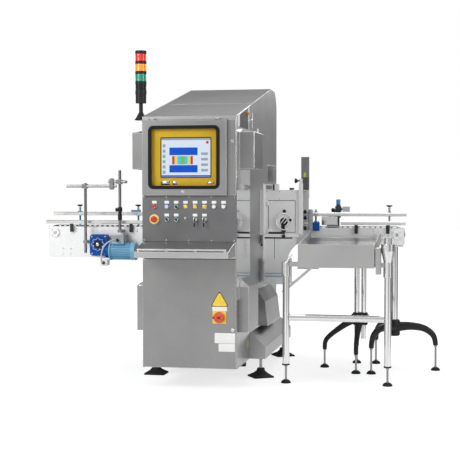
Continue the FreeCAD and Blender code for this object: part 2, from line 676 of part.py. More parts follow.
def round_foot(x, y, seat, rise):
    # Ball-jointed foot: low rubber dome, spindle and the nut that the load sits on.
    dome = Part.makeSphere(STAND_PAD_RADIUS, V(x, y, 0)).common(rod((x, y, 0), (x, y, 24),
                                                                    STAND_PAD_RADIUS))
    spindle = rod((x, y, 20), (x, y, seat + rise), 7)
    return fuse([dome, spindle, hexagon(x, y, seat - 10, seat, 12)])


def vent_hood(reach, bottom, top, front, length, hip):
    # Rain hood over a fan grille: hipped top, open underside.
    def shape(inset, base):
        x0 = HALF
        x1 = HALF + reach - inset
        y0 = front + inset
        y1 = front + length - inset
        z1 = top - hip - inset
        lower = [V(x0, y0, base), V(x1, y0, base), V(x1, y1, base), V(x0, y1, base)]
        walls = Part.Face(closed(lower)).extrude(V(0, 0, z1 - base))
        drop = hip - inset * 0.3
        ridge_in = min(reach * 0.9, length / 3)
        a, b, c, d = [V(p.x, p.y, z1) for p in lower]
        e = V(x0, y0 + ridge_in, z1 + drop)
        f = V(x0, y1 - ridge_in, z1 + drop)
        faces = [Part.Face(closed(q)) for q in ([a, b, e], [b, c, f, e], [c, d, f], [a, e, f, d],
                                                [a, b, c, d])]
        return walls.fuse(Part.Solid(Part.Shell(faces)))
    outer = shape(0, bottom)
    inner = shape(SHEET, bottom - 1)
    inner.translate(V(-1, 0, 0))
    return outer.removeSplitter().cut(inner)


def upper_hoods():
    hood = vent_hood(UPPER_HOOD_REACH, UPPER_HOOD_BOTTOM, UPPER_HOOD_TOP, HOOD_FRONT, HOOD_LENGTH, 23.0)
    return [hood, mirror_x(hood)]


def lower_hoods():
    lower = vent_hood(LOWER_HOOD_REACH, LOWER_HOOD_BOTTOM, LOWER_HOOD_TOP, HOOD_FRONT - 12,
                      HOOD_LENGTH + 36, 48.0)
    x_top = HALF + EXHAUST_REACH - 19
    x_low = HALF + EXHAUST_REACH
    profile = [(HALF, EXHAUST_BOTTOM + 30), (HALF, EXHAUST_TOP), (x_top, EXHAUST_TOP - 89),
               (x_low, EXHAUST_BOTTOM + 30)]
    inner = [(HALF - 1, EXHAUST_BOTTOM), (HALF - 1, EXHAUST_TOP - 4), (x_top - 3, EXHAUST_TOP - 92),
             (x_low - 3, EXHAUST_BOTTOM)]
    exhaust = prism_along_y(profile, EXHAUST_FRONT, EXHAUST_FRONT + EXHAUST_LENGTH)
    exhaust = exhaust.cut(prism_along_y(inner, EXHAUST_FRONT + SHEET,
                                        EXHAUST_FRONT + EXHAUST_LENGTH - SHEET))
    return [lower, mirror_x(lower), exhaust]


def signal_tower():
    # Black parts of the stacked lamp: bracket, flared foot, stem, housing, rings, sounder and cap.
    x = SIGNAL_X
    y = SIGNAL_Y
    z = SIGNAL_FOOT
    bracket = box(x - 34, -HALF, y - 30, y + 30, z - 8, z)
    leaf = box(-HALF - 4, -HALF, y - 30, y + 30, z - 60, z)
    foot = rod((x, y, z), (x, y, z + 10), 33)
    flare = cone((x, y, z + 10), (x, y, z + 40), 30, 15)
    stem = rod((x, y, z + 38), (x, y, z + 106), 12.5)
    body = rod((x, y, z + 100), (x, y, z + 182), SIGNAL_RADIUS - 1)
    rings = []
    for low, high in signal_levels()["black"]:
        rings.append(rod((x, y, low), (x, y, high), SIGNAL_RADIUS + 1))
    spine = rod((x, y, z + 180), (x, y, signal_levels()["black"][-1][0] + 2), 8)
    sounder_low, sounder_high = signal_levels()["sounder"]
    sounder = rod((x, y, sounder_low), (x, y, sounder_high), SIGNAL_RADIUS - 2)
    return fuse([bracket, leaf, foot, flare, stem, body, spine, sounder] + rings)


def signal_levels():
    level = SIGNAL_FOOT + 156
    black = [(level, level + RING_HEIGHT + 8)]
    level += RING_HEIGHT + 8
    sounder = (level, level + 38)
    level += 38
    lenses = []
    for _ in range(3):
        black.append((level, level + RING_HEIGHT))
        level += RING_HEIGHT
        lenses.append((level, level + LENS_HEIGHT))
        level += LENS_HEIGHT
    black.append((level, level + RING_HEIGHT + 2))
    return {"black": black, "sounder": sounder, "lenses": lenses}


def signal_lenses():
    lenses = []
    for low, high in signal_levels()["lenses"]:
        lenses.append(tube((SIGNAL_X, SIGNAL_Y, low), (SIGNAL_X, SIGNAL_Y, high), SIGNAL_RADIUS,
                           SIGNAL_RADIUS - 4))
    return lenses


def chain_wheels():
    # Wheels that the chain loop passes, in running order: x, z, radius, and -1 where it bends backwards.
    return [(IDLER_X, IDLER_Z, IDLER_RADIUS, 1), (-IDLER_X, IDLER_Z, IDLER_RADIUS, 1),
            (DRIVE_X, DRIVE_Z, DRIVE_RADIUS, 1),
            (BACK_BEND_X, IDLER_Z - IDLER_RADIUS - BACK_BEND_RADIUS, BACK_BEND_RADIUS, -1)]


def chain_path():
    # Straight runs tangent to neighbouring wheels, joined by the arcs round the wheels.
    wheels = chain_wheels()
    runs = []
    for (x0, z0, r0, s0), (x1, z1, r1, s1) in zip(wheels, wheels[1:] + wheels[:1]):
        distance = math.hypot(x1 - x0, z1 - z0)
        heading = math.atan2(z1 - z0, x1 - x0) - math.asin((s1 * r1 - s0 * r0) / distance)
        left = (-math.sin(heading), math.cos(heading))
        start = (x0 - s0 * r0 * left[0], z0 - s0 * r0 * left[1])
        end = (x1 - s1 * r1 * left[0], z1 - s1 * r1 * left[1])
        runs.append((start, end, heading))
    return wheels, runs


def chain_stations():
    wheels, runs = chain_path()
    pieces = []
    for i, (start, end, heading) in enumerate(runs):
        pieces.append(("run", start, heading, math.hypot(end[0] - start[0], end[1] - start[1])))
        x, z, radius, side = wheels[(i + 1) % len(wheels)]
        turn = (runs[(i + 1) % len(runs)][2] - heading) * side % (2 * math.pi)
        pieces.append(("arc", (x, z, radius, side), heading, turn * radius))
    total = sum(p[3] for p in pieces)
    count = round(total / CHAIN_PITCH)
    stations = []
    for k in range(count):
        travel = k * total / count
        for kind, place, heading, length in pieces:
            if travel <= length:
                break
            travel -= length
        if kind == "run":
            stations.append((place[0] + travel * math.cos(heading),
                             place[1] + travel * math.sin(heading), heading))
        else:
            x, z, radius, side = place
            angle = heading + side * travel / radius
            stations.append((x + side * radius * math.sin(angle), z - side * radius * math.cos(angle),
                             angle))
    return stations


def conveyor_chain():
    # Each slat spans from one pin to the next; its two knuckles lie side by side with the neighbours'.
    under = SLAT_TOP - SLAT_PLATE
    stations = chain_stations()
    slats = []
    for (x, z, _), (x1, z1, _) in zip(stations, stations[1:] + stations[:1]):
        length = math.hypot(x1 - x, z1 - z)
        c = (x1 - x) / length
        s = (z1 - z) / length
        near = knuckle_outline(0, 1, under)
        far = knuckle_outline(length, -1, under)
        plate = [(SLAT_GAP, -SLAT_TOP), (length - SLAT_GAP, -SLAT_TOP), (length - SLAT_GAP, -under),
                 (SLAT_GAP, -under)]
        parts = []
        for outline, low, high in ((plate, -CHAIN_WIDTH / 2, CHAIN_WIDTH / 2),
                                   (near, -KNUCKLE_REACH, -0.1),
                                   (far, 0.1, KNUCKLE_REACH)):
            points = [(x + t * c - n * s, z + t * s + n * c) for t, n in outline]
            parts.append(prism_along_y(points, LINE_Y + low, LINE_Y + high))
        slats.append(fuse(parts))
    return slats


def knuckle_outline(at, side, under):
    points = [(1.5, -under - 0.5), (-3, -2.4), (-3, KNUCKLE_DROP), (3, KNUCKLE_DROP), (6, -under - 0.5)]
    return [(at + side * t, n) for t, n in points]


def wheel_shaft(x, z, root, tip, teeth, near, far):
    # Shaft with a toothed wheel; the tips stay just inside the chain's knuckles.
    points = []
    for i in range(teeth):
        for offset, radius in ((-0.32, root), (-0.16, tip), (0.16, tip), (0.32, root)):
            angle = 2 * math.pi * (i + offset) / teeth
            points.append((x + radius * math.cos(angle), z + radius * math.sin(angle)))
    wheel = prism_along_y(points, LINE_Y - 21, LINE_Y + 21)
    hub = rod((x, LINE_Y - 32, z), (x, LINE_Y + 32, z), SHAFT_RADIUS + 12)
    return fuse([wheel, hub, rod((x, near, z), (x, far, z), SHAFT_RADIUS)])


def drive_shaft():
    tip = DRIVE_RADIUS - KNUCKLE_DROP - TOOTH_CLEARANCE
    return wheel_shaft(DRIVE_X, DRIVE_Z, tip - 9, tip, DRIVE_TEETH, GEARBOX_FRONT + 8,
                       LINE_Y + PLATE_OUTER + 16)


def idler_shaft(x):
    tip = IDLER_RADIUS - KNUCKLE_DROP - TOOTH_CLEARANCE
    reach = PLATE_OUTER + 10
    return wheel_shaft(x, IDLER_Z, tip - 8, tip, IDLER_TEETH, LINE_Y - reach, LINE_Y + reach)


def side_plate_outline():
    end = LINE_HALF_LENGTH - 12
    return [(-end, DRIVE_PLATE_BOTTOM), (DRIVE_PLATE_END, DRIVE_PLATE_BOTTOM),
            (DRIVE_PLATE_END + 60, SIDE_PLATE_BOTTOM), (end, SIDE_PLATE_BOTTOM),
            (end, SIDE_PLATE_TOP), (-end, SIDE_PLATE_TOP)]


def conveyor_frame():
    # Two side plates, spacers, wear strips under the chain and a flange bearing at each shaft end.
    pieces = []
    shafts = [(-IDLER_X, IDLER_Z), (IDLER_X, IDLER_Z), (DRIVE_X, DRIVE_Z)]
    bearings = []
    for side in (-1, 1):
        inner = LINE_Y + side * PLATE_INNER
        outer = LINE_Y + side * PLATE_OUTER
        low, high = min(inner, outer), max(inner, outer)
        plate = prism_along_y(side_plate_outline(), low, high)
        for x, z in shafts:
            plate = plate.cut(rod((x, low - 1, z), (x, high + 1, z), SHAFT_RADIUS + 6))
        for x, z in joint_holes():
            plate = plate.cut(rod((x, low - 1, z), (x, high + 1, z), JOINT_HOLE_RADIUS))
        pieces.append(plate)
        for x, z in shafts:
            if side < 0 and x == DRIVE_X:
                continue
            flange = rod((x, outer, z), (x, outer + side * 9, z), 32)
            flange = flange.cut(rod((x, outer - side, z), (x, outer + side * 10, z), BORE_RADIUS))
            bearings.append(flange)
        strip_y = LINE_Y + side * 33
        strip_top = PITCH_LINE - KNUCKLE_DROP - 0.3
        strip = box(-IDLER_X + 50, IDLER_X - 50, strip_y - 6, strip_y + 6, strip_top - 10, strip_top)
        pieces.append(strip)
    for x in SPACERS:
        pieces.append(box(x - 12, x + 12, LINE_Y - PLATE_INNER, LINE_Y + PLATE_INNER,
                          PITCH_LINE - KNUCKLE_DROP - 40, PITCH_LINE - KNUCKLE_DROP - 10.3))
    shoe_z = IDLER_Z - IDLER_RADIUS - SLAT_TOP - 0.4
    shoe = box(BACK_BEND_X + 30, BACK_BEND_X + 110, LINE_Y - PLATE_INNER, LINE_Y + PLATE_INNER,
               shoe_z - 6, shoe_z)
    return pieces + [shoe] + bearings


def joint_holes():
    # Four holes near each end, for the splice plates of the neighbouring conveyors.
    places = []
    for x, z, across, up in (INFEED_JOINT, OUTFEED_JOINT):
        for sx, sz in SQUARE:
            places.append((x + sx * across / 2, z + sz * up / 2))
    return places


def gear_reducer():
    # Worm reducer with a hollow output hub, bolted flange and an input flange for the motor.
    front = GEARBOX_FRONT + 22
    block = box(DRIVE_X - GEARBOX_HALF_X, DRIVE_X + GEARBOX_HALF_X, front, GEARBOX_BACK,
                GEARBOX_BOTTOM, GEARBOX_TOP)
    edges = [e for e in block.Edges if abs(e.Vertexes[0].Y - e.Vertexes[-1].Y) > 20]
    block = block.makeFillet(22, edges)
    spacer = rod((DRIVE_X, GEARBOX_BACK - 1, DRIVE_Z), (DRIVE_X, GEARBOX_SEAT, DRIVE_Z), 45)
    flange = rod((DRIVE_X, front - 10, DRIVE_Z), (DRIVE_X, front, DRIVE_Z), 40)
    lobes = []
    for i in range(8):
        angle = math.pi * (i + 0.5) / 4
        x = DRIVE_X + 42 * math.cos(angle)
        z = DRIVE_Z + 42 * math.sin(angle)
        lobes.append(rod((x, front - 8, z), (x, front, z), 8))
    hub = rod((DRIVE_X, GEARBOX_FRONT + 4, DRIVE_Z), (DRIVE_X, front, DRIVE_Z), 24)
    neck = rod((DRIVE_X + 50, GEARBOX_MID, MOTOR_Z), (DRIVE_X + GEARBOX_HALF_X + 16, GEARBOX_MID,
                                                      MOTOR_Z), 46)
    body = fuse([block, spacer, flange, hub, neck] + lobes)
    return body.cut(rod((DRIVE_X, GEARBOX_FRONT, DRIVE_Z), (DRIVE_X, GEARBOX_SEAT + 1, DRIVE_Z),
                        BORE_RADIUS))


def drive_motor():
    start = DRIVE_X + GEARBOX_HALF_X + 16
    y = GEARBOX_MID
    z = MOTOR_Z
    flange = rod((start, y, z), (start + 10, y, z), MOTOR_RADIUS + 3)
    core = rod((start + 8, y, z), (MOTOR_END - 34, y, z), MOTOR_RADIUS - 8)
    fins = []
    for i in range(24):
        angle = 360.0 * i / 24
        fin = box(start + 12, MOTOR_END - 36, y - 1.6, y + 1.6, z + MOTOR_RADIUS - 10, z + MOTOR_RADIUS)
        fins.append(turned(fin, (0, y, z), (1, 0, 0), angle))
    cowl = rod((MOTOR_END - 36, y, z), (MOTOR_END - 4, y, z), MOTOR_RADIUS + 3)
    cap = cone((MOTOR_END - 4, y, z), (MOTOR_END, y, z), MOTOR_RADIUS + 3, MOTOR_RADIUS - 8)
    terminal = box(start + 20, start + 110, y - 46, y + 46, z + MOTOR_RADIUS - 12, z + MOTOR_RADIUS + 42)
    lid = box(start + 17, start + 113, y - 49, y + 49, z + MOTOR_RADIUS + 42, z + MOTOR_RADIUS + 54)
    gland = rod(CABLE_START, (CABLE_START[0], CABLE_START[1] + 26, CABLE_START[2]), 10)
    return fuse([flange, core, cowl, cap, terminal, lid, gland] + fins)


def round_path(points):
    # Straight runs joined by tangent arcs, each as large as its two runs allow.
    vectors = [V(*p) for p in points]
    edges = []
    length = 0.0
    at = vectors[0]
    for i in range(1, len(vectors) - 1):
        before = (vectors[i] - vectors[i - 1])
        after = (vectors[i + 1] - vectors[i])
        turn = before.getAngle(after)
        cut = 0.45 * min(before.Length, after.Length)
        radius = cut / math.tan(turn / 2)
        start = vectors[i] - before.normalize() * cut
        end = vectors[i] + after.normalize() * cut
        centre_dir = (end - vectors[i]) + (start - vectors[i])
        centre = vectors[i] + centre_dir.normalize() * math.hypot(radius, cut)
        middle = centre + (vectors[i] - centre).normalize() * radius
        edges.append(Part.LineSegment(at, start).toShape())
        edges.append(Part.Arc(start, middle, end).toShape())
        at = end
    edges.append(Part.LineSegment(at, vectors[-1]).toShape())
    wire = Part.Wire(edges)
    length = wire.Length
    return wire, length


def cable(points, radius):
    wire, length = round_path(points)
    direction = V(*points[1]) - V(*points[0])
    section = Part.Wire(Part.makeCircle(radius, V(*points[0]), direction))
    solid = wire.makePipeShell([section], True, False)
    expected = math.pi * radius ** 2 * length
    print("cable length", round(length, 1), "volume ratio", round(solid.Volume / expected, 4))
    return solid


def cable_bracket():
    # Angle under the reducer with the bush where the motor cable enters the trunking.
    x, y, z = CABLE_ROUTE[-1]
    plate = box(x - 26, x + 30, y, y + 4, z - 24, DRIVE_PLATE_BOTTOM + 4)
    arm = box(x - 26, x + 30, y, LINE_Y - PLATE_OUTER, DRIVE_PLATE_BOTTOM + 2, DRIVE_PLATE_BOTTOM + 6)
    trunk = box(x - 22, x + 26, y + 4, y + 70, z - 20, z + 20)
    return fuse([plate, arm, trunk])


def guide_rails():
    rails = []
    far = LINE_Y + RAIL_OFFSET
    near = LINE_Y - RAIL_OFFSET
    end = LINE_HALF_LENGTH
    rails.append(rail_bar(-end, end, far, FAR_RAIL_HEIGHT))
    rails.append(rail_bar(-end, EXIT_GAP_START, near, NEAR_RAIL_HEIGHT))
    rails.append(rail_bar(EXIT_GAP_END, end, near, NEAR_RAIL_HEIGHT))
    return rails


def rail_bar(x0, x1, y, z):
    low = z - RAIL_DEPTH / 2
    high = z + RAIL_DEPTH / 2
    web = RAIL_THICKNESS / 2
    profile = [(y - web, low + 4), (y - web + 4, low), (y + web, low), (y + web, high),
               (y - web + 4, high), (y - web, high - 4)]
    return prism_along_x(profile, x0, x1)


def rail_brackets():
    # Far side: a post and a clamp that grips the rail from behind. Near side: a clip behind the rail.
    pieces = [rail_bracket(x, FAR_RAIL_HEIGHT) for x in BRACKETS]
    return pieces + [rail_clip(x) for x in NEAR_CLIPS]


def rail_bracket(x, height):
    plate = LINE_Y + PLATE_OUTER
    rail = LINE_Y + RAIL_OFFSET + RAIL_THICKNESS / 2
    post_y = LINE_Y + RAIL_OFFSET + 46
    foot = box(x - 16, x + 16, plate, post_y, 945, 955)
    post = rod((x, post_y, 938), (x, post_y, height + 34), 7)
    grip = box(x - 14, x + 14, rail, post_y, height - 9, height + 9)
    head = box(x - 14, x + 14, post_y - 13, post_y + 13, height - 14, height + 20)
    return fuse([foot, post, grip, head])


def rail_clip(x):
    plate = LINE_Y - PLATE_OUTER
    rail = LINE_Y - RAIL_OFFSET + RAIL_THICKNESS / 2
    foot = box(x - 12, x + 12, rail, plate, 950, 956)
    leaf = box(x - 12, x + 12, rail, rail + 4, 950, NEAR_RAIL_HEIGHT + 8)
    return fuse([foot, leaf])


def clamp_knob(x, y, z):
    # Five-lobed knob on a plain stem.
    lobes = []
    for i in range(5):
        angle = 2 * math.pi * i / 5
        cx = x + 11 * math.cos(angle)
        cy = y + 11 * math.sin(angle)
        lobes.append(rod((cx, cy, z + 12), (cx, cy, z + 24), 6.5))
    return fuse([rod((x, y, z + 12), (x, y, z + 24), 12), rod((x, y, z), (x, y, z + 14),
                                                              KNOB_STEM)] + lobes)


def sensor_stand():
    # Two upright rods beside the infeed carry cross bars in two-way clamps for product sensors.
    y = LINE_Y - 130
    low_x = -985.0
    high_x = -727.0
    bar_low = 1281.0
    bar_high = 1312.0
    pieces = [rod((low_x, y, 800), (low_x, y, 1304), 10), rod((high_x, y, 948), (high_x, y, 1394), 10),
              rod((-1118, y - 24, bar_low), (-746, y - 24, bar_low), 10),
              rod((-806, y - 24, bar_high), (-676, y - 24, bar_high), 10),
              cone((-676, y - 24, bar_high), (-666, y - 24, bar_high), 13, 8)]
    for x, z in ((low_x, bar_low), (high_x, bar_high)):
        pieces.append(box(x - 17, x + 17, y - 38, y + 14, z - 16, z + 16))
    pieces.append(rounded_plate(-793, -765, bar_low - 26, bar_high + 26, 12, y - 42, y - 8))
    plate = LINE_Y - PLATE_OUTER
    for x, z in ((low_x, 880.0), (high_x, 960.0)):
        pieces.append(box(x - 14, x + 14, y - 14, plate, z - 10, z + 10))
    return fuse(pieces)


def tunnel_guard(reach, with_door):
    # Shielding hood over the line beside the tower, open along the line and underneath.
    x1 = HALF + reach
    hood = box(HALF, x1, GUARD_FRONT, GUARD_REAR, GUARD_BOTTOM, GUARD_TOP)
    hood = hood.cut(box(HALF - 1, x1 + 1, GUARD_FRONT + WALL, GUARD_REAR - WALL, GUARD_BOTTOM - 1,
                        GUARD_TOP - WALL))
    if with_door:
        hood = hood.cut(box(GUARD_DOOR_LEFT + 9, GUARD_DOOR_RIGHT - 9, GUARD_FRONT - 1,
                            GUARD_FRONT + WALL + 1,
                            GUARD_DOOR_BOTTOM + 9, GUARD_DOOR_TOP - 9))
    left_post = box(HALF + 22, HALF + 34, GUARD_FRONT - 12, GUARD_FRONT, GUARD_BOTTOM - 184,
                    GUARD_TOP + 45)
    right_post = box(x1 - 24, x1 + 4, GUARD_FRONT - 14, GUARD_FRONT, GUARD_BOTTOM + 8,
                     GUARD_TOP + 45)
    rail = box(HALF + 30, x1 - 20, GUARD_FRONT - 18, GUARD_FRONT, GUARD_BOTTOM - 14, GUARD_BOTTOM + 8)
    skirt = box(HALF + 30, x1 - 40, GUARD_FRONT - 2, GUARD_FRONT, GUARD_BOTTOM - 176, GUARD_BOTTOM + 6)
    curve = GUARD_BOTTOM - 198
    skirt = skirt.cut(rod((x1 + 60, GUARD_FRONT - 5, curve), (x1 + 60, GUARD_FRONT + 5, curve), 165))
    top_block = box(HALF + 34, HALF + 130, GUARD_FRONT - 4, GUARD_FRONT + 46, GUARD_TOP,
                    GUARD_TOP + 41)
    hanger = box(HALF + 60, HALF + 80, GUARD_FRONT, LINE_Y - PLATE_OUTER, GUARD_BOTTOM + 6,
                 GUARD_BOTTOM + 12)
    far_hanger = box(HALF + 60, HALF + 80, LINE_Y + PLATE_OUTER, GUARD_REAR - 1, GUARD_BOTTOM + 6,
                     GUARD_BOTTOM + 12)
    return fuse([hood, left_post, right_post, rail, skirt, top_block, hanger, far_hanger])


def tunnel_guards():
    right = tunnel_guard(GUARD_REACH, True)
    y = GUARD_FRONT + 20
    right = fuse([right, rod((GUARD_KNOB_X, y, GUARD_TOP - 12), (GUARD_KNOB_X, y, GUARD_TOP + 2), 10)])
    right = right.cut(rod((GUARD_KNOB_X, y, GUARD_TOP - 13), (GUARD_KNOB_X, y, GUARD_TOP + 3),
                          KNOB_STEM + RUNNING_CLEARANCE))
    for low in (GUARD_DOOR_BOTTOM, GUARD_DOOR_TOP - 24):
        lug = box(GUARD_DOOR_LEFT - 14, GUARD_DOOR_LEFT - 1, GUARD_FRONT - 10, GUARD_FRONT, low - 8, low)
        pin = rod((GUARD_DOOR_LEFT - 7, GUARD_FRONT - 6, low - 8),
                  (GUARD_DOOR_LEFT - 7, GUARD_FRONT - 6, low + 22), 3)
        right = fuse([right, lug, pin])
    return [right, mirror_x(tunnel_guard(INFEED_GUARD_REACH, False))]


def guard_door():
    panel = box(GUARD_DOOR_LEFT, GUARD_DOOR_RIGHT, GUARD_FRONT - 3.5, GUARD_FRONT - 0.5,
                GUARD_DOOR_BOTTOM, GUARD_DOOR_TOP)
    pieces = [panel]
    axis_x = GUARD_DOOR_LEFT - 7
    axis_y = GUARD_FRONT - 6
    for low in (GUARD_DOOR_BOTTOM, GUARD_DOOR_TOP - 24):
        knuckle = rod((axis_x, axis_y, low + 0.3), (axis_x, axis_y, low + 22), 5.5)
        leaf = box(axis_x, GUARD_DOOR_LEFT + 20, GUARD_FRONT - 6, GUARD_FRONT - 3, low + 0.3, low + 22)
        pieces += [knuckle, leaf]
    boss = rod((wheel_x(), GUARD_FRONT - 16, WHEEL_HEIGHT), (wheel_x(), GUARD_FRONT, WHEEL_HEIGHT), 20)
    door = fuse(pieces + [boss])
    for low in (GUARD_DOOR_BOTTOM, GUARD_DOOR_TOP - 24):
        door = door.cut(rod((axis_x, axis_y, low), (axis_x, axis_y, low + 23), 3 + RUNNING_CLEARANCE))
    door = door.cut(rod((wheel_x(), GUARD_FRONT - 17, WHEEL_HEIGHT),
                        (wheel_x(), GUARD_FRONT + 1, WHEEL_HEIGHT),
                        8 + RUNNING_CLEARANCE))
    return door.cut(rod((wheel_x(), GUARD_FRONT - 17, WHEEL_HEIGHT + SIGHT_RISE),
                        (wheel_x(), GUARD_FRONT + 1, WHEEL_HEIGHT + SIGHT_RISE), 12))


def wheel_x():
    return (GUARD_DOOR_LEFT + GUARD_DOOR_RIGHT) / 2 + 18


def guard_wheel():
    # Setting wheel: dished rim, slanted spoke and a turned hub on a stem through the door.
    x = wheel_x()
    z = WHEEL_HEIGHT
    front = GUARD_FRONT - 30
    rim = Part.makeTorus(WHEEL_RADIUS - 7, 7, V(x, front, z), V(0, 1, 0))
    hub = rod((x, front - 12, z), (x, GUARD_FRONT - 16.5, z), 17)
    stem = rod((x, front, z), (x, GUARD_FRONT - 1, z), 8)
    spoke = turned(box(x - WHEEL_RADIUS + 8, x + WHEEL_RADIUS - 8, front - 4, front + 4, z - 9, z + 9),
                   (x, front, z), (0, 1, 0), 55)
    return fuse([rim, hub, stem, spoke])


def reject_table():
    # Open table of folded sheet: sloping floor, flared left wall, tall front, flange at the right end.
    t = SHEET
    floor_front = TABLE_FRONT_BOTTOM + 18
    floor_rear = TABLE_REAR_TOP - 40
    side = [(TABLE_FRONT, TABLE_FRONT_BOTTOM), (TABLE_FRONT, TABLE_FRONT_TOP),
            (TABLE_REAR, TABLE_REAR_TOP),
            (TABLE_REAR, floor_rear - 6)]
    floor = [(TABLE_FRONT, floor_front), (TABLE_REAR, floor_rear), (TABLE_REAR, floor_rear - t),
             (TABLE_FRONT, floor_front - t)]
    body = [prism_along_x(side, TABLE_RIGHT - t, TABLE_RIGHT),
            prism_along_x(side, TABLE_LEFT, TABLE_LEFT + t),
            prism_along_x(floor, TABLE_LEFT, TABLE_RIGHT),
            box(TABLE_LEFT, TABLE_RIGHT, TABLE_FRONT, TABLE_FRONT + t, TABLE_FRONT_BOTTOM,
                TABLE_FRONT_TOP)]
    lip = box(TABLE_LEFT, TABLE_RIGHT, TABLE_FRONT, TABLE_FRONT + 14, TABLE_FRONT_TOP - t,
              TABLE_FRONT_TOP)
    flange = box(TABLE_RIGHT + 8, TABLE_RIGHT + 38, TABLE_FRONT + 6, TABLE_FRONT + 110, 715, 882)
    tie = box(TABLE_RIGHT - 1, STAND_RIGHT - STAND_TUBE, TABLE_FRONT + 40, TABLE_FRONT + 78, 758, 788)
    left_tie = box(STAND_LEFT + STAND_TUBE, TABLE_LEFT + 1, TABLE_FRONT + 40, TABLE_FRONT + 78, 758, 788)
    apron = box(TABLE_LEFT, TABLE_RIGHT, TABLE_REAR - 4, TABLE_REAR, floor_rear - 34, floor_rear)
    hanger = box(TABLE_LEFT + 20, TABLE_RIGHT - 20, TABLE_REAR - 4, LINE_Y - PLATE_OUTER,
                 floor_rear - 30, floor_rear - 20)
    panel = prism_along_y([(548, 700), (700, 700), (700, floor_rear - 20), (600, floor_rear - 20)],
                          TABLE_REAR - 8, TABLE_REAR - 3)
    table = fuse(body + [lip, flange, tie, left_tie, apron, hanger, panel])
    for x in (STAND_LEFT, STAND_RIGHT):
        table = table.cut(rod((x, STAND_Y, 700), (x, STAND_Y, 790), SLEEVE_RADIUS))
    return table


def drop_chute():
    # Sheet box under the outlet guard, held by a diagonal strut to the table's back panel.
    box_y = GUARD_FRONT
    shell = box(HALF + 30, HALF + 190, box_y, box_y + 260, 598, 764)
    shell = shell.cut(box(HALF + 30 + SHEET, HALF + 190 - SHEET, box_y + SHEET, box_y + 260 - SHEET,
                          597, 765))
    ledge = box(HALF + 26, HALF + 196, box_y - 8, box_y, 598, 650)
    tongue = box(HALF + 40, HALF + 180, box_y, box_y + SHEET, 760, 800)
    slope = [(440, 540), (468, 540), (700, 740), (672, 740)]
    strut = prism_along_y(slope, box_y + 56, box_y + 94)
    strut = strut.cut(prism_along_y(slope, box_y + 60, box_y + 90).translated(V(6, 0, -4)))
    link = box(HALF + 189, HALF + 226, box_y + 56, box_y + 94, 600, 612)
    brace = box(660, 700, box_y + 56, TABLE_REAR - 8, 712, 740)
    return fuse([shell, ledge, tongue, strut, link, brace])


def stand_frame():
    # Two round posts with a welded crossbar, a square sleeve and a clamp head on each.
    pieces = []
    for x in (STAND_LEFT, STAND_RIGHT):
        pieces.append(tube((x, STAND_Y, STAND_FOOT_TOP), (x, STAND_Y, 700), STAND_TUBE, STAND_TUBE - 2.5))
        pieces.append(tube((x, STAND_Y, STAND_FOOT_TOP - 6), (x, STAND_Y, STAND_FOOT_TOP),
                           STAND_TUBE + 1, 7.1))
        pieces.append(tube((x, STAND_Y, 694), (x, STAND_Y, 790), SLEEVE_RADIUS, STAND_TUBE - 3))
    pieces.append(rod((STAND_LEFT + STAND_TUBE - 1, STAND_Y, CROSSBAR_HEIGHT),
                      (STAND_RIGHT - STAND_TUBE + 1, STAND_Y, CROSSBAR_HEIGHT), STAND_TUBE))
    x = STAND_RIGHT
    pieces.append(cone((x, STAND_Y, 790), (x, STAND_Y, 862), 27, 44))
    pieces.append(rod((x, STAND_Y, 862), (x, STAND_Y, 905), 44))
    pieces.append(rod((x, STAND_Y, 905), (x, STAND_Y, 944), 24))
    pieces.append(rod((STAND_LEFT, STAND_Y - 24, 780), (STAND_LEFT + 44, STAND_Y - 40, 838), 6))
    return fuse(pieces)


def support_tripod():
    # Pedestal under the outlet end: clamped post on three curved arms, and a twin-tube support.
    top = SIDE_PLATE_BOTTOM
    post = [rod((TRIPOD_X, LINE_Y, 300), (TRIPOD_X, LINE_Y, top - 12), 24),
            rod((TRIPOD_X, LINE_Y, 236), (TRIPOD_X, LINE_Y, 350), 40),
            box(TRIPOD_X - 60, TRIPOD_X + 60, LINE_Y - PLATE_OUTER, LINE_Y + PLATE_OUTER, top - 12, top)]
    for angle in TRIPOD_ANGLES:
        post.append(turned(curved_arm(), (TRIPOD_X, LINE_Y, 0), (0, 0, 1), angle))
    twin = [box(TWIN_X - 60, TWIN_X + 60, LINE_Y - PLATE_OUTER, LINE_Y + PLATE_OUTER, top - 12, top),
            box(TWIN_X - 50, TWIN_X + 50, LINE_Y - 30, LINE_Y + 30, 310, 392)]
    for offset in (-24, 24):
        twin.append(rod((TWIN_X + offset, LINE_Y, 210), (TWIN_X + offset, LINE_Y, top - 10), 18))
    for angle in TWIN_ANGLES:
        twin.append(turned(straight_arm(), (TWIN_X, LINE_Y, 0), (0, 0, 1), angle))
    return [fuse(post), fuse(twin)]


def curved_arm():
    # Bowed arm: out level from the hub, then down to a boss over the foot.
    reach = TRIPOD_REACH
    low = CURVED_ARM_FOOT
    lower = [(reach - 17, low), (reach - 17, low + 34), (reach - 40, 258), (reach - 90, 284), (30, 262)]
    upper = [(30, 336), (reach - 110, 340), (reach - 50, 322), (reach - 6, 282),
             (reach + 17, low + 36), (reach + 17, low)]
    return prism([(TRIPOD_X + d, LINE_Y - 17, z) for d, z in lower + upper], (0, 34, 0))


def straight_arm():
    reach = TWIN_REACH
    low = STRAIGHT_ARM_FOOT
    outline = [(20, 392), (52, 392), (reach + 16, low + 70), (reach + 16, low), (reach - 16, low),
               (reach - 16, low + 46), (50, 312), (20, 312)]
    return prism([(TWIN_X + d, LINE_Y - 14, z) for d, z in outline], (0, 28, 0))


def ring_places(x, reach, angles):
    turns = [math.radians(a) for a in angles]
    return [(x + reach * math.cos(a), LINE_Y + reach * math.sin(a)) for a in turns]


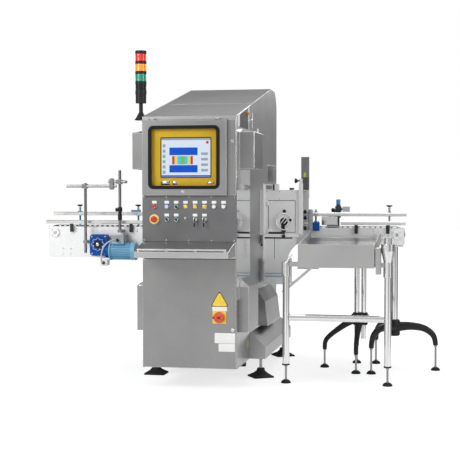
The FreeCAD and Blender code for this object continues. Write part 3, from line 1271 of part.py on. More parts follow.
def stand_feet():
    feet = []
    for x in (STAND_LEFT, STAND_RIGHT):
        feet.append(round_foot(x, STAND_Y, STAND_FOOT_TOP - 6, 30))
    for x, y in ring_places(TRIPOD_X, TRIPOD_REACH, TRIPOD_ANGLES):
        feet.append(round_foot(x, y, CURVED_ARM_FOOT, 0))
    for x, y in ring_places(TWIN_X, TWIN_REACH, TWIN_ANGLES):
        feet.append(round_foot(x, y, STRAIGHT_ARM_FOOT, 0))
    return feet


def pneumatic_unit():
    # Pusher cylinder behind the line on its bracket, valve block, and the air regulator beside it.
    y0 = LINE_Y + 190
    body = box(PUSHER_X - 32, PUSHER_X + 32, y0, y0 + 190, PUSHER_HEIGHT - 30, PUSHER_HEIGHT + 26)
    body = body.cut(rod((PUSHER_X, y0 - 1, PUSHER_HEIGHT), (PUSHER_X, y0 + 170, PUSHER_HEIGHT),
                        8 + RUNNING_CLEARANCE))
    shelf = box(PUSHER_X - 60, PUSHER_X + 110, LINE_Y + PLATE_OUTER, y0 + 190, PUSHER_HEIGHT - 80,
                PUSHER_HEIGHT - 72)
    blocks = [box(PUSHER_X - 30, PUSHER_X + 30, y0 + 10, y0 + 40, PUSHER_HEIGHT - 73, PUSHER_HEIGHT - 29),
              box(PUSHER_X - 30, PUSHER_X + 30, y0 + 140, y0 + 180, PUSHER_HEIGHT - 73,
                  PUSHER_HEIGHT - 29)]
    rx = REGULATOR[0]
    ry = REGULATOR[1]
    regulator = [rod((rx, ry, PUSHER_HEIGHT - 73), (rx, ry, REGULATOR[2] - 52), 9),
                 box(rx - 21, rx + 21, ry - 21, ry + 21, REGULATOR[2] - 56, REGULATOR[2] - 14),
                 rod((rx, ry, REGULATOR[2] - 16), (rx, ry, REGULATOR[2]), 16),
                 rod((rx, ry, REGULATOR[2] - 98), (rx, ry, REGULATOR[2] - 54), 17)]
    gauge = [rod((rx + 20, ry, REGULATOR[2] - 35), (rx + 34, ry, REGULATOR[2] - 35), 8),
             box(rx + 32, rx + 82, ry - 18, ry + 18, REGULATOR[2] - 54, REGULATOR[2] - 16)]
    port = rod((rx - 24, ry - 22, REGULATOR[2] - 60), (rx - 24, ry - 22, REGULATOR[2] - 40), 6)
    arm = box(rx - 30, rx - 15, ry - 28, ry - 15, REGULATOR[2] - 52, REGULATOR[2] - 40)
    low_port = rod((PUSHER_X + 26, y0 + 22, PUSHER_HEIGHT + 24),
                   (PUSHER_X + 26, y0 + 22, PUSHER_HEIGHT + 36), 6)
    pieces = [body, shelf] + blocks + regulator + gauge + [port, arm, low_port]
    knob_seat = rod((rx, ry, REGULATOR[2] - 30), (rx, ry, REGULATOR[2] + 1), 6 + RUNNING_CLEARANCE)
    return fuse(pieces).cut(knob_seat)


def regulator_knob():
    x, y, z = REGULATOR
    cap = rod((x, y, z + 0.4), (x, y, z + 36), 15)
    flutes = []
    for i in range(12):
        angle = math.pi * i / 6
        flutes.append(rod((x + 15.6 * math.cos(angle), y + 15.6 * math.sin(angle), z + 2),
                          (x + 15.6 * math.cos(angle), y + 15.6 * math.sin(angle), z + 34), 2.2))
    return cap.cut(Part.makeCompound(flutes)).fuse(rod((x, y, z - 28), (x, y, z + 2), 6))


def pusher_head():
    front = LINE_Y + CHAIN_WIDTH / 2 + 46
    plate = box(PUSHER_X - 56, PUSHER_X + 56, front, front + 22, CHAIN_TOP + 4,
                FAR_RAIL_HEIGHT - RAIL_DEPTH / 2 - 2)
    piston = rod((PUSHER_X, front + 20, PUSHER_HEIGHT), (PUSHER_X, LINE_Y + 340, PUSHER_HEIGHT), 8)
    return fuse([plate, piston])


def sensor_column():
    # Slim sensor housing on a post behind the outlet guard, with a sight window facing the front.
    y = GUARD_REAR + 38
    housing = box(539, 593, y - 22, y + 22, 1199, 1493)
    post = box(541, 559, y - 10, y + 10, 916, 1200)
    foot = box(536, 586, LINE_Y + PLATE_OUTER, y + 12, 916, 926)
    return fuse([housing, post, foot])


def xray_generator():
    # Tube tank with cooling ribs on the rear side of the line, and its collimator snout.
    tank = box(-190, 190, GUARD_REAR + 30, TOWER_BACK - 90, CHAIN_TOP - 20, CHAIN_TOP + 330)
    ribs = [box(-190 + 20 + i * 36, -190 + 26 + i * 36, GUARD_REAR + 40, TOWER_BACK - 100, CHAIN_TOP + 330,
                CHAIN_TOP + 350) for i in range(10)]
    snout = cone((0, GUARD_REAR + 32, CHAIN_TOP + 110), (0, GUARD_REAR - 40, CHAIN_TOP + 110), 60, 40)
    shelf = box(-WALL_IN, WALL_IN, GUARD_REAR + 20, TOWER_BACK - 60, CHAIN_TOP - 40, CHAIN_TOP - 20)
    return fuse([tank, snout, shelf] + ribs)


def detector_unit():
    housing = box(-120, 120, GUARD_FRONT - 90, GUARD_FRONT + 20, CHAIN_TOP, CHAIN_TOP + 280)
    slot = box(-8, 8, GUARD_FRONT + 10, GUARD_FRONT + 21, CHAIN_TOP + 20, CHAIN_TOP + 260)
    shelf = box(-WALL_IN, WALL_IN, GUARD_FRONT - 130, GUARD_FRONT + 20, CHAIN_TOP - 20, CHAIN_TOP)
    return fuse([housing.cut(slot), shelf])


def electrical_plate():
    # Mounting plate with drive, controller and terminal rows behind the doors.
    back = CABINET_DEPTH - SHEET
    low = BODY_BOTTOM + 49
    high = UPPER_DOOR_TOP - 47
    side = HALF - 50
    plate = box(-side, side, back - 18, back - 15, low, high)
    pieces = [plate]
    for x in (20 - side, side - 20):
        for z in (low + 20, (low + high) / 2 - 10, high - 20):
            pieces.append(rod((x, back - 16, z), (x, back, z), 8))
    for z in (330.0, 480.0, 1010.0, 1160.0, 1320.0):
        pieces.append(box(-225, 225, back - 26, back - 17, z - 17, z + 17))
    for i in range(3):
        pieces.append(box(-215 + i * 105, -125 + i * 105, back - 170, back - 17, 560, 780))
    for i in range(6):
        pieces.append(box(-200 + i * 62, -150 + i * 62, back - 110, back - 25, 1260, 1380))
    for i in range(5):
        pieces.append(box(-200 + i * 44, -160 + i * 44, back - 90, back - 25, 960, 1060))
    for z in (330.0, 480.0):
        pieces.append(box(-205, 205, back - 72, back - 25, z - 24, z + 24))
    return fuse(pieces)


def main():
    os.makedirs("parts", exist_ok=True)
    save("cabinet_shell", [cabinet_shell()])
    save("roof_panels", roof_panels())
    save("tower_walls", [tower_walls()])
    save("base_plinth", [base_plinth()])
    save("levelling_feet", machine_feet() + stand_feet())
    save("upper_hoods", upper_hoods())
    save("lower_hoods", lower_hoods())
    save("lower_door", [lower_door()])
    save("lower_door_latch", [quarter_turn_latch(LATCH_X, LOWER_LATCH_Z, 0, 29, CAM_REACH)])
    save("upper_door", [upper_door()])
    save("upper_door_latch", [quarter_turn_latch(LATCH_X, UPPER_LATCH_Z, 0, 29, CAM_REACH)])
    save("hmi_door", [hmi_door()])
    save("hmi_latch", [quarter_turn_latch(HMI_LATCH_X, HMI_LATCH_Z, -HMI_DEPTH, 16, HMI_CAM_REACH)])
    save("window_gasket", [window_gasket()])
    save("window_pane", [window_pane()])
    save("operator_screen", [operator_screen()])
    save("control_panel", [control_panel()])
    save("device_collars", device_collars())
    columns = device_columns(7)
    save("button_red", [push_button(STOP_COLUMN, ROW_UPPER, 12.0, 6.0)])
    save("button_blue", [push_button(columns[0], ROW_UPPER, 12.0, 6.0)])
    save("button_white_left", [push_button(columns[5], ROW_UPPER, 12.0, 6.0)])
    save("button_white_right", [push_button(columns[6], ROW_UPPER, 12.0, 6.0)])
    save("stop_button", [push_button(STOP_COLUMN, ROW_LOWER, STOP_HEAD_RADIUS, 14.0)])
    save("indicator_lamps", [indicator_lamp(x, ROW_UPPER) for x in columns[2:5]])
    save("selector_upper", [selector(columns[1], ROW_UPPER)])
    save("selector_left", [selector(columns[0], ROW_LOWER)])
    save("selector_right", [selector(columns[1], ROW_LOWER)])
    save("key_left", [key_switch(columns[3], ROW_LOWER)])
    save("key_right", [key_switch(columns[4], ROW_LOWER)])
    save("keyboard_tray", [keyboard_tray()])
    save("main_switch_plate", [main_switch_plate()])
    save("main_switch_knob", [main_switch_knob()])
    save("signal_tower", [signal_tower()])
    save("signal_lenses", signal_lenses())
    save("conveyor_frame", conveyor_frame() + [cable_bracket()])
    save("conveyor_chain", conveyor_chain())
    save("drive_shaft", [drive_shaft()])
    save("idler_infeed", [idler_shaft(-IDLER_X)])
    save("idler_outfeed", [idler_shaft(IDLER_X)])
    save("gear_reducer", [gear_reducer()])
    save("drive_motor", [drive_motor()])
    save("motor_cable", [cable(CABLE_ROUTE, CABLE_RADIUS)])
    save("guide_rails", guide_rails())
    save("rail_brackets", rail_brackets())
    save("sensor_stand", [sensor_stand()])
    save("tunnel_guards", tunnel_guards())
    save("guard_door", [guard_door()])
    save("guard_wheel", [guard_wheel()])
    save("guard_knob", [clamp_knob(GUARD_KNOB_X, GUARD_FRONT + 20, GUARD_TOP - 9.7)])
    save("reject_table", [reject_table()])
    save("drop_chute", [drop_chute()])
    save("stand_frame", [stand_frame()])
    save("support_tripod", support_tripod())
    save("pneumatic_unit", [pneumatic_unit()])
    save("regulator_knob", [regulator_knob()])
    save("pusher_head", [pusher_head()])
    save("sensor_column", [sensor_column()])
    save("xray_generator", [xray_generator()])
    save("detector_unit", [detector_unit()])
    save("electrical_plate", [electrical_plate()])


main()
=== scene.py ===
import bpy
import math
import numpy as np
from mathutils import Euler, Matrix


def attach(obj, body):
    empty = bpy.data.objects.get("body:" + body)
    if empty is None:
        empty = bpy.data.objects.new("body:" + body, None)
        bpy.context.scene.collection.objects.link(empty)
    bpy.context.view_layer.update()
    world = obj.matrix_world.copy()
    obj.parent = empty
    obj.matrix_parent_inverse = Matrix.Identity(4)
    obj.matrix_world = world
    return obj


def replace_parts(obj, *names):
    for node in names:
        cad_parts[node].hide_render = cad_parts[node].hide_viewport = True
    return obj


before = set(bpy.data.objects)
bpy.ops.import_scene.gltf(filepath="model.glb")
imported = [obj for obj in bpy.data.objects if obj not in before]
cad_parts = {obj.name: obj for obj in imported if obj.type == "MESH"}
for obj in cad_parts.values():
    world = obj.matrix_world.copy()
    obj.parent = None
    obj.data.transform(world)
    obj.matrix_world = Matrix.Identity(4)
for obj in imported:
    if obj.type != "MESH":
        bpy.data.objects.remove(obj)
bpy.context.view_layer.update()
print("frame loaded:", len(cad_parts), "nodes")

# The solids were drawn from the middle of the cabinet's front foot line; this moves a point from there.
frameShift = np.array([119.5, 749.0, 0.0])


def toFrame(points):
    return (np.asarray(points, dtype=float) - frameShift) / 1000.0


# ---- surfaces, all in millimetres until a piece is made ----

def gridFaces(rows, cols, closeCols=True, closeRows=False):
    # Quads between neighbouring rows and columns of a rows x cols grid of points.
    r = np.arange(rows if closeRows else rows - 1)
    c = np.arange(cols if closeCols else cols - 1)
    rr, cc = np.meshgrid(r, c, indexing="ij")
    a = rr * cols + cc
    b = rr * cols + (cc + 1) % cols
    d = ((rr + 1) % rows) * cols + cc
    e = ((rr + 1) % rows) * cols + (cc + 1) % cols
    return np.stack([a, b, e, d], axis=-1).reshape(-1, 4).tolist()


def axisFrame(axis):
    # Two unit vectors square to the axis, and the axis itself.
    w = np.asarray(axis, dtype=float)
    w = w / np.linalg.norm(w)
    helper = np.array([0.0, 0.0, 1.0]) if abs(w[2]) < 0.9 else np.array([1.0, 0.0, 0.0])
    u = np.cross(helper, w)
    u = u / np.linalg.norm(u)
    return u, np.cross(w, u), w


def turnedShape(centre, axis, profile, around=32, twist=0.0):
    # Point(angle, i) = centre + radius_i (u cos angle + v sin angle) + height_i * axis; flat caps close the ends.
    u, v, w = axisFrame(axis)
    profile = np.asarray(profile, dtype=float)
    angle = np.linspace(0, 2 * np.pi, around, endpoint=False) + twist
    ring = np.cos(angle)[:, None] * u + np.sin(angle)[:, None] * v
    points = np.asarray(centre, float) + profile[:, 0, None, None] * ring[None] + profile[:, 1, None, None] * w
    faces = gridFaces(len(profile), around)
    count = len(profile) * around
    faces.append(list(range(around))[::-1])
    faces.append(list(range(count - around, count)))
    return points.reshape(-1, 3), faces


def lobedShape(centre, axis, profile, lobes, depth, around=60):
    # As a turned shape, with the radius times 1 + depth cos(lobes angle), for knobs and fluted caps.
    points, faces = turnedShape(centre, axis, profile, around)
    u, v, w = axisFrame(axis)
    off = points - np.asarray(centre, float)
    angle = np.arctan2(off @ v, off @ u)
    along = (off @ w)[:, None] * w
    return np.asarray(centre, float) + along + (off - along) * (1 + depth * np.cos(lobes * angle))[:, None], faces


def roundedOutline(width, height, corner, steps=5):
    # A rectangle whose corners are quarter circles, as points in the plane, anticlockwise.
    corner = min(corner, width / 2 - 1e-3, height / 2 - 1e-3)
    angle = (np.arange(4)[:, None] * np.pi / 2 + np.linspace(0, np.pi / 2, steps)[None]).ravel()
    cx = np.repeat([1, -1, -1, 1], steps) * (width / 2 - corner)
    cz = np.repeat([1, 1, -1, -1], steps) * (height / 2 - corner)
    return np.stack([cx + corner * np.cos(angle), cz + corner * np.sin(angle)], axis=1)


def softBlock(centre, axis, width, height, depth, corner, edge, steps=5, up=None):
    # Rounded outlines stacked along the axis; the first and last are drawn in by the edge radius.
    w = np.asarray(axis, float) / np.linalg.norm(axis)
    v = np.asarray(up if up is not None else ((0, 0, 1) if abs(w[2]) < 0.9 else (0, 1, 0)), float)
    v = v - (v @ w) * w
    v = v / np.linalg.norm(v)
    u = np.cross(v, w)
    turn = np.linspace(0, np.pi / 2, 4)
    inset = np.concatenate([edge * (1 - np.sin(turn)), edge * (1 - np.cos(turn))])
    level = np.concatenate([edge * (1 - np.cos(turn)), depth - edge * (1 - np.sin(turn))])
    rings = []
    for shrink, high in zip(inset, level):
        outline = roundedOutline(width - 2 * shrink, height - 2 * shrink, max(corner - shrink, 0.05), steps)
        rings.append(np.asarray(centre, float) + outline[:, :1] * u + outline[:, 1:] * v + high * w)
    points = np.concatenate(rings)
    around = len(rings[0])
    faces = gridFaces(len(rings), around)
    faces.append(list(range(around))[::-1])
    faces.append(list(range(len(points) - around, len(points))))
    return points, faces


def bentTube(path, radii, around=14, smooth=8):
    # A circle carried along a curve through the given points (cubic between them), with a radius at each.
    path = np.asarray(path, float)
    radii = np.broadcast_to(np.asarray(radii, float), (len(path),))
    ends = np.vstack([2 * path[0] - path[1], path, 2 * path[-1] - path[-2]])
    t = np.linspace(0, 1, smooth, endpoint=False)[:, None]
    spans = []
    for i in range(len(path) - 1):
        a, b, c, d = ends[i:i + 4]
        spans.append(0.5 * (2 * b + (c - a) * t + (2 * a - 5 * b + 4 * c - d) * t ** 2 + (3 * b - a - 3 * c + d) * t ** 3))
    line = np.vstack(spans + [path[-1:]])
    size = np.interp(np.linspace(0, len(path) - 1, len(line)), np.arange(len(path)), radii)
    tangent = np.gradient(line, axis=0)
    tangent /= np.linalg.norm(tangent, axis=1)[:, None]
    side = np.cross(tangent, np.array([0.13, 0.31, 0.94]))
    side /= np.linalg.norm(side, axis=1)[:, None]
    over = np.cross(tangent, side)
    angle = np.linspace(0, 2 * np.pi, around, endpoint=False)
    points = line[:, None] + size[:, None, None] * (np.cos(angle)[None, :, None] * side[:, None] + np.sin(angle)[None, :, None] * over[:, None])
    faces = gridFaces(len(line), around)
    faces.append(list(range(around))[::-1])
    faces.append(list(range((len(line) - 1) * around, len(line) * around)))
    return points.reshape(-1, 3), [f[::-1] for f in faces]


def makePiece(name, shapes, materials, body, sharp=35):
    # shapes are (points, faces) or (points, faces, material number); all become one mesh.
    points, faces, numbers, offset = [], [], [], 0
    for shape in shapes:
        p, f = shape[0], shape[1]
        points.append(p)
        faces += [[i + offset for i in face] for face in f]
        numbers += [shape[2] if len(shape) > 2 else 0] * len(f)
        offset += len(p)
    mesh = bpy.data.meshes.new(name)
    mesh.from_pydata(toFrame(np.concatenate(points)).tolist(), [], faces)
    mesh.validate()
    for material in (materials if isinstance(materials, (list, tuple)) else [materials]):
        mesh.materials.append(material)
    mesh.polygons.foreach_set("material_index", numbers)
    mesh.polygons.foreach_set("use_smooth", [True] * len(mesh.polygons))
    mesh.set_sharp_from_angle(angle=math.radians(sharp))
    mesh.update()
    piece = bpy.data.objects.new(name, mesh)
    bpy.context.scene.collection.objects.link(piece)
    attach(piece, body)
    return piece


# ---- finishes ----

def newMaterial(name):
    material = bpy.data.materials.new(name)
    material.use_nodes = True
    tree = material.node_tree
    shader = tree.nodes["Principled BSDF"]
    return material, tree, shader


def addNode(tree, kind, inputs=None, **settings):
    node = tree.nodes.new(kind)
    for key, value in settings.items():
        setattr(node, key, value)
    for key, value in (inputs or {}).items():
        if isinstance(value, bpy.types.NodeSocket):
            tree.links.new(value, node.inputs[key])
        else:
            node.inputs[key].default_value = value
    return node


def noiseField(tree, scale, stretch=(1, 1, 1), detail=4.0, rough=0.55):
    # Object-coordinate noise, stretched to make grain, brush lines or blotches.
    coords = addNode(tree, "ShaderNodeTexCoord")
    mapping = addNode(tree, "ShaderNodeMapping", {"Vector": coords.outputs["Object"], "Scale": stretch})
    return addNode(tree, "ShaderNodeTexNoise", {"Vector": mapping.outputs["Vector"], "Scale": scale, "Detail": detail, "Roughness": rough}).outputs["Fac"]


def ramp(tree, value, stops):
    # stops are (position, colour or grey)
    node = addNode(tree, "ShaderNodeValToRGB", {"Fac": value})
    node.color_ramp.elements[0].position = stops[0][0]
    node.color_ramp.elements[1].position = stops[-1][0]
    for position, _ in stops[1:-1]:
        node.color_ramp.elements.new(position)
    for element, (_, colour) in zip(node.color_ramp.elements, stops):
        c = colour if isinstance(colour, (tuple, list)) else (colour,) * 3
        element.color = (*c, 1.0)
    return node.outputs["Color"]


def tint(colour, factor):
    return tuple(min(1.0, c * factor) for c in colour)


def foldedEdge(tree, radius):
    # 0 on flat sheet and 1 along a fold: how far the rounded normal leans from the real one within the radius.
    rounded = addNode(tree, "ShaderNodeBevel", {"Radius": radius}, samples=4)
    real = addNode(tree, "ShaderNodeNewGeometry")
    lean = addNode(tree, "ShaderNodeVectorMath", {0: rounded.outputs["Normal"], 1: real.outputs["True Normal"]}, operation="DOT_PRODUCT")
    mask = addNode(tree, "ShaderNodeMapRange", {"Value": lean.outputs["Value"], "From Min": 0.985, "From Max": 0.80})
    return mask.outputs["Result"], rounded.outputs["Normal"]


def paintSteel(name, colour, rough=0.3, grain=(1, 60, 60), depth=0.12, blotch=0.08, metal=1.0, edge=0.0035, edgeHighlight=0.55):
    # Brushed sheet: fine lines along one axis in roughness and bump, faint handling marks, and a painted highlight that
    # lightens the colour along folds and sheet edges.
    material, tree, shader = newMaterial(name)
    lines = noiseField(tree, 9.0, grain, 6.0, 0.7)
    marks = noiseField(tree, 3.2, (1, 1, 1), 5.0, 0.6)
    shader.inputs["Metallic"].default_value = metal
    mixed = addNode(tree, "ShaderNodeMix", {"Factor": 0.45}, data_type="RGBA", blend_type="MULTIPLY")
    tree.links.new(ramp(tree, marks, [(0.3, tint(colour, 1 - blotch)), (0.7, tint(colour, 1 + blotch))]), mixed.inputs[6])
    tree.links.new(ramp(tree, lines, [(0.25, 0.80), (0.75, 1.0)]), mixed.inputs[7])
    fold, roundedNormal = foldedEdge(tree, edge)
    # painted highlight: along folds and sheet edges the colour is pulled towards pale grey, standing in for light
    # glinting on the rounded edge
    foldHighlight = addNode(tree, "ShaderNodeMath", {0: fold, 1: edgeHighlight}, operation="MULTIPLY")
    bright = addNode(tree, "ShaderNodeMix", {"Factor": foldHighlight.outputs[0]}, data_type="RGBA")
    tree.links.new(mixed.outputs[2], bright.inputs[6])
    bright.inputs[7].default_value = (0.92, 0.92, 0.91, 1)
    tree.links.new(bright.outputs[2], shader.inputs["Base Color"])
    tree.links.new(ramp(tree, lines, [(0.2, rough - 0.06), (0.8, rough + 0.10)]), shader.inputs["Roughness"])
    bump = addNode(tree, "ShaderNodeBump", {"Height": lines, "Strength": depth, "Distance": 0.0006, "Normal": roundedNormal})
    tree.links.new(bump.outputs["Normal"], shader.inputs["Normal"])
    return material


def paintMoulded(name, colour, rough=0.45, grainScale=420.0, depth=0.15, metallic=0.0, spread=0.10, coat=0.0, shine=0.35):
    # Moulded or painted surface: fine skin in bump, slow shade changes, slightly uneven gloss.
    material, tree, shader = newMaterial(name)
    skin = noiseField(tree, grainScale, (1, 1, 1), 3.0, 0.6)
    slow = noiseField(tree, 7.0, (1, 1, 1), 4.0, 0.55)
    shader.inputs["Metallic"].default_value = metallic
    shader.inputs["Coat Weight"].default_value = coat
    shader.inputs["Specular IOR Level"].default_value = shine if max(colour) > 0.05 else 0.18
    tree.links.new(ramp(tree, slow, [(0.3, tint(colour, 1 - spread)), (0.7, tint(colour, 1 + spread))]), shader.inputs["Base Color"])
    tree.links.new(ramp(tree, slow, [(0.25, max(rough - 0.07, 0.03)), (0.75, min(rough + 0.08, 1.0))]), shader.inputs["Roughness"])
    bump = addNode(tree, "ShaderNodeBump", {"Height": skin, "Strength": depth, "Distance": 0.0004})
    tree.links.new(bump.outputs["Normal"], shader.inputs["Normal"])
    return material


def paintGlow(name, colour, strength):
    # Lit display area: emission with a faint line raster and a thin glossy face.
    material, tree, shader = newMaterial(name)
    raster = noiseField(tree, 60.0, (1, 1, 1), 2.0, 0.5)
    shade = ramp(tree, raster, [(0.2, tint(colour, 0.92)), (0.8, colour)])
    tree.links.new(shade, shader.inputs["Emission Color"])
    shader.inputs["Base Color"].default_value = (0.01, 0.01, 0.012, 1)
    shader.inputs["Emission Strength"].default_value = strength
    shader.inputs["Roughness"].default_value = 0.30
    shader.inputs["Specular IOR Level"].default_value = 0.08
    return material


def paintCabinet(name, colour):
    # Cabinet sheet: brushed front and edges, bright near-mirror side wall on the outlet side above the lower hood.
    # strong painted highlight along the cabinet's folds and edges
    material = paintSteel(name, colour, 0.26, (60, 60, 1.2), 0.10, edge=0.006, edgeHighlight=0.8)
    tree = material.node_tree
    shader = tree.nodes["Principled BSDF"]
    old = shader.inputs["Roughness"].links[0].from_socket
    coords = addNode(tree, "ShaderNodeTexCoord")
    split = addNode(tree, "ShaderNodeSeparateXYZ", {"Vector": coords.outputs["Object"]})
    side = addNode(tree, "ShaderNodeMath", {0: split.outputs["X"], 1: (299.3 - frameShift[0]) / 1000}, operation="GREATER_THAN")
    upper = addNode(tree, "ShaderNodeMath", {0: split.outputs["Z"], 1: 0.56}, operation="GREATER_THAN")
    side = addNode(tree, "ShaderNodeMath", {0: side.outputs[0], 1: upper.outputs[0]}, operation="MULTIPLY")
    mix = addNode(tree, "ShaderNodeMix", {"Factor": side.outputs[0]}, data_type="FLOAT")
    tree.links.new(old, mix.inputs[2])
    mix.inputs[3].default_value = 0.06
    tree.links.new(mix.outputs[0], shader.inputs["Roughness"])
    plain = shader.inputs["Base Color"].links[0].from_socket
    polish = addNode(tree, "ShaderNodeMix", {"Factor": side.outputs[0]}, data_type="RGBA")
    tree.links.new(plain, polish.inputs[6])
    polish.inputs[7].default_value = (0.90, 0.90, 0.895, 1)
    tree.links.new(polish.outputs[2], shader.inputs["Base Color"])
    return material


def paintLenses(name, levels):
    # Lamp colours by height: constant steps of a ramp over the Object z coordinate.
    material, tree, shader = newMaterial(name)
    coords = addNode(tree, "ShaderNodeTexCoord")
    split = addNode(tree, "ShaderNodeSeparateXYZ", {"Vector": coords.outputs["Object"]})
    span = addNode(tree, "ShaderNodeMapRange", {"Value": split.outputs["Z"], "From Min": levels[0][0], "From Max": levels[-1][0] + 0.1})
    stops = [((z - levels[0][0]) / (levels[-1][0] + 0.1 - levels[0][0]), c) for z, c in levels]
    colour = ramp(tree, span.outputs["Result"], stops)
    colour.node.color_ramp.interpolation = "CONSTANT"
    tree.links.new(colour, shader.inputs["Base Color"])
    tree.links.new(colour, shader.inputs["Emission Color"])
    shader.inputs["Emission Strength"].default_value = 0.22
    shader.inputs["Roughness"].default_value = 0.16
    shader.inputs["Coat Weight"].default_value = 0.5
    ribs = addNode(tree, "ShaderNodeTexWave", {"Vector": coords.outputs["Object"], "Scale": 60.0}, bands_direction="Z")
    bump = addNode(tree, "ShaderNodeBump", {"Height": ribs.outputs["Fac"], "Strength": 0.25, "Distance": 0.001})
    tree.links.new(bump.outputs["Normal"], shader.inputs["Normal"])
    return material


def paintPane(name):
    # Clear pane: mostly see-through, with a faint uneven gloss.
    material, tree, shader = newMaterial(name)
    film = noiseField(tree, 5.0)
    tree.links.new(ramp(tree, film, [(0.3, 0.03), (0.8, 0.09)]), shader.inputs["Roughness"])
    shader.inputs["Base Color"].default_value = (0.01, 0.012, 0.012, 1)
    shader.inputs["Alpha"].default_value = 0.05
    shader.inputs["Specular IOR Level"].default_value = 0.2
    material.blend_method = "BLEND"
    return material


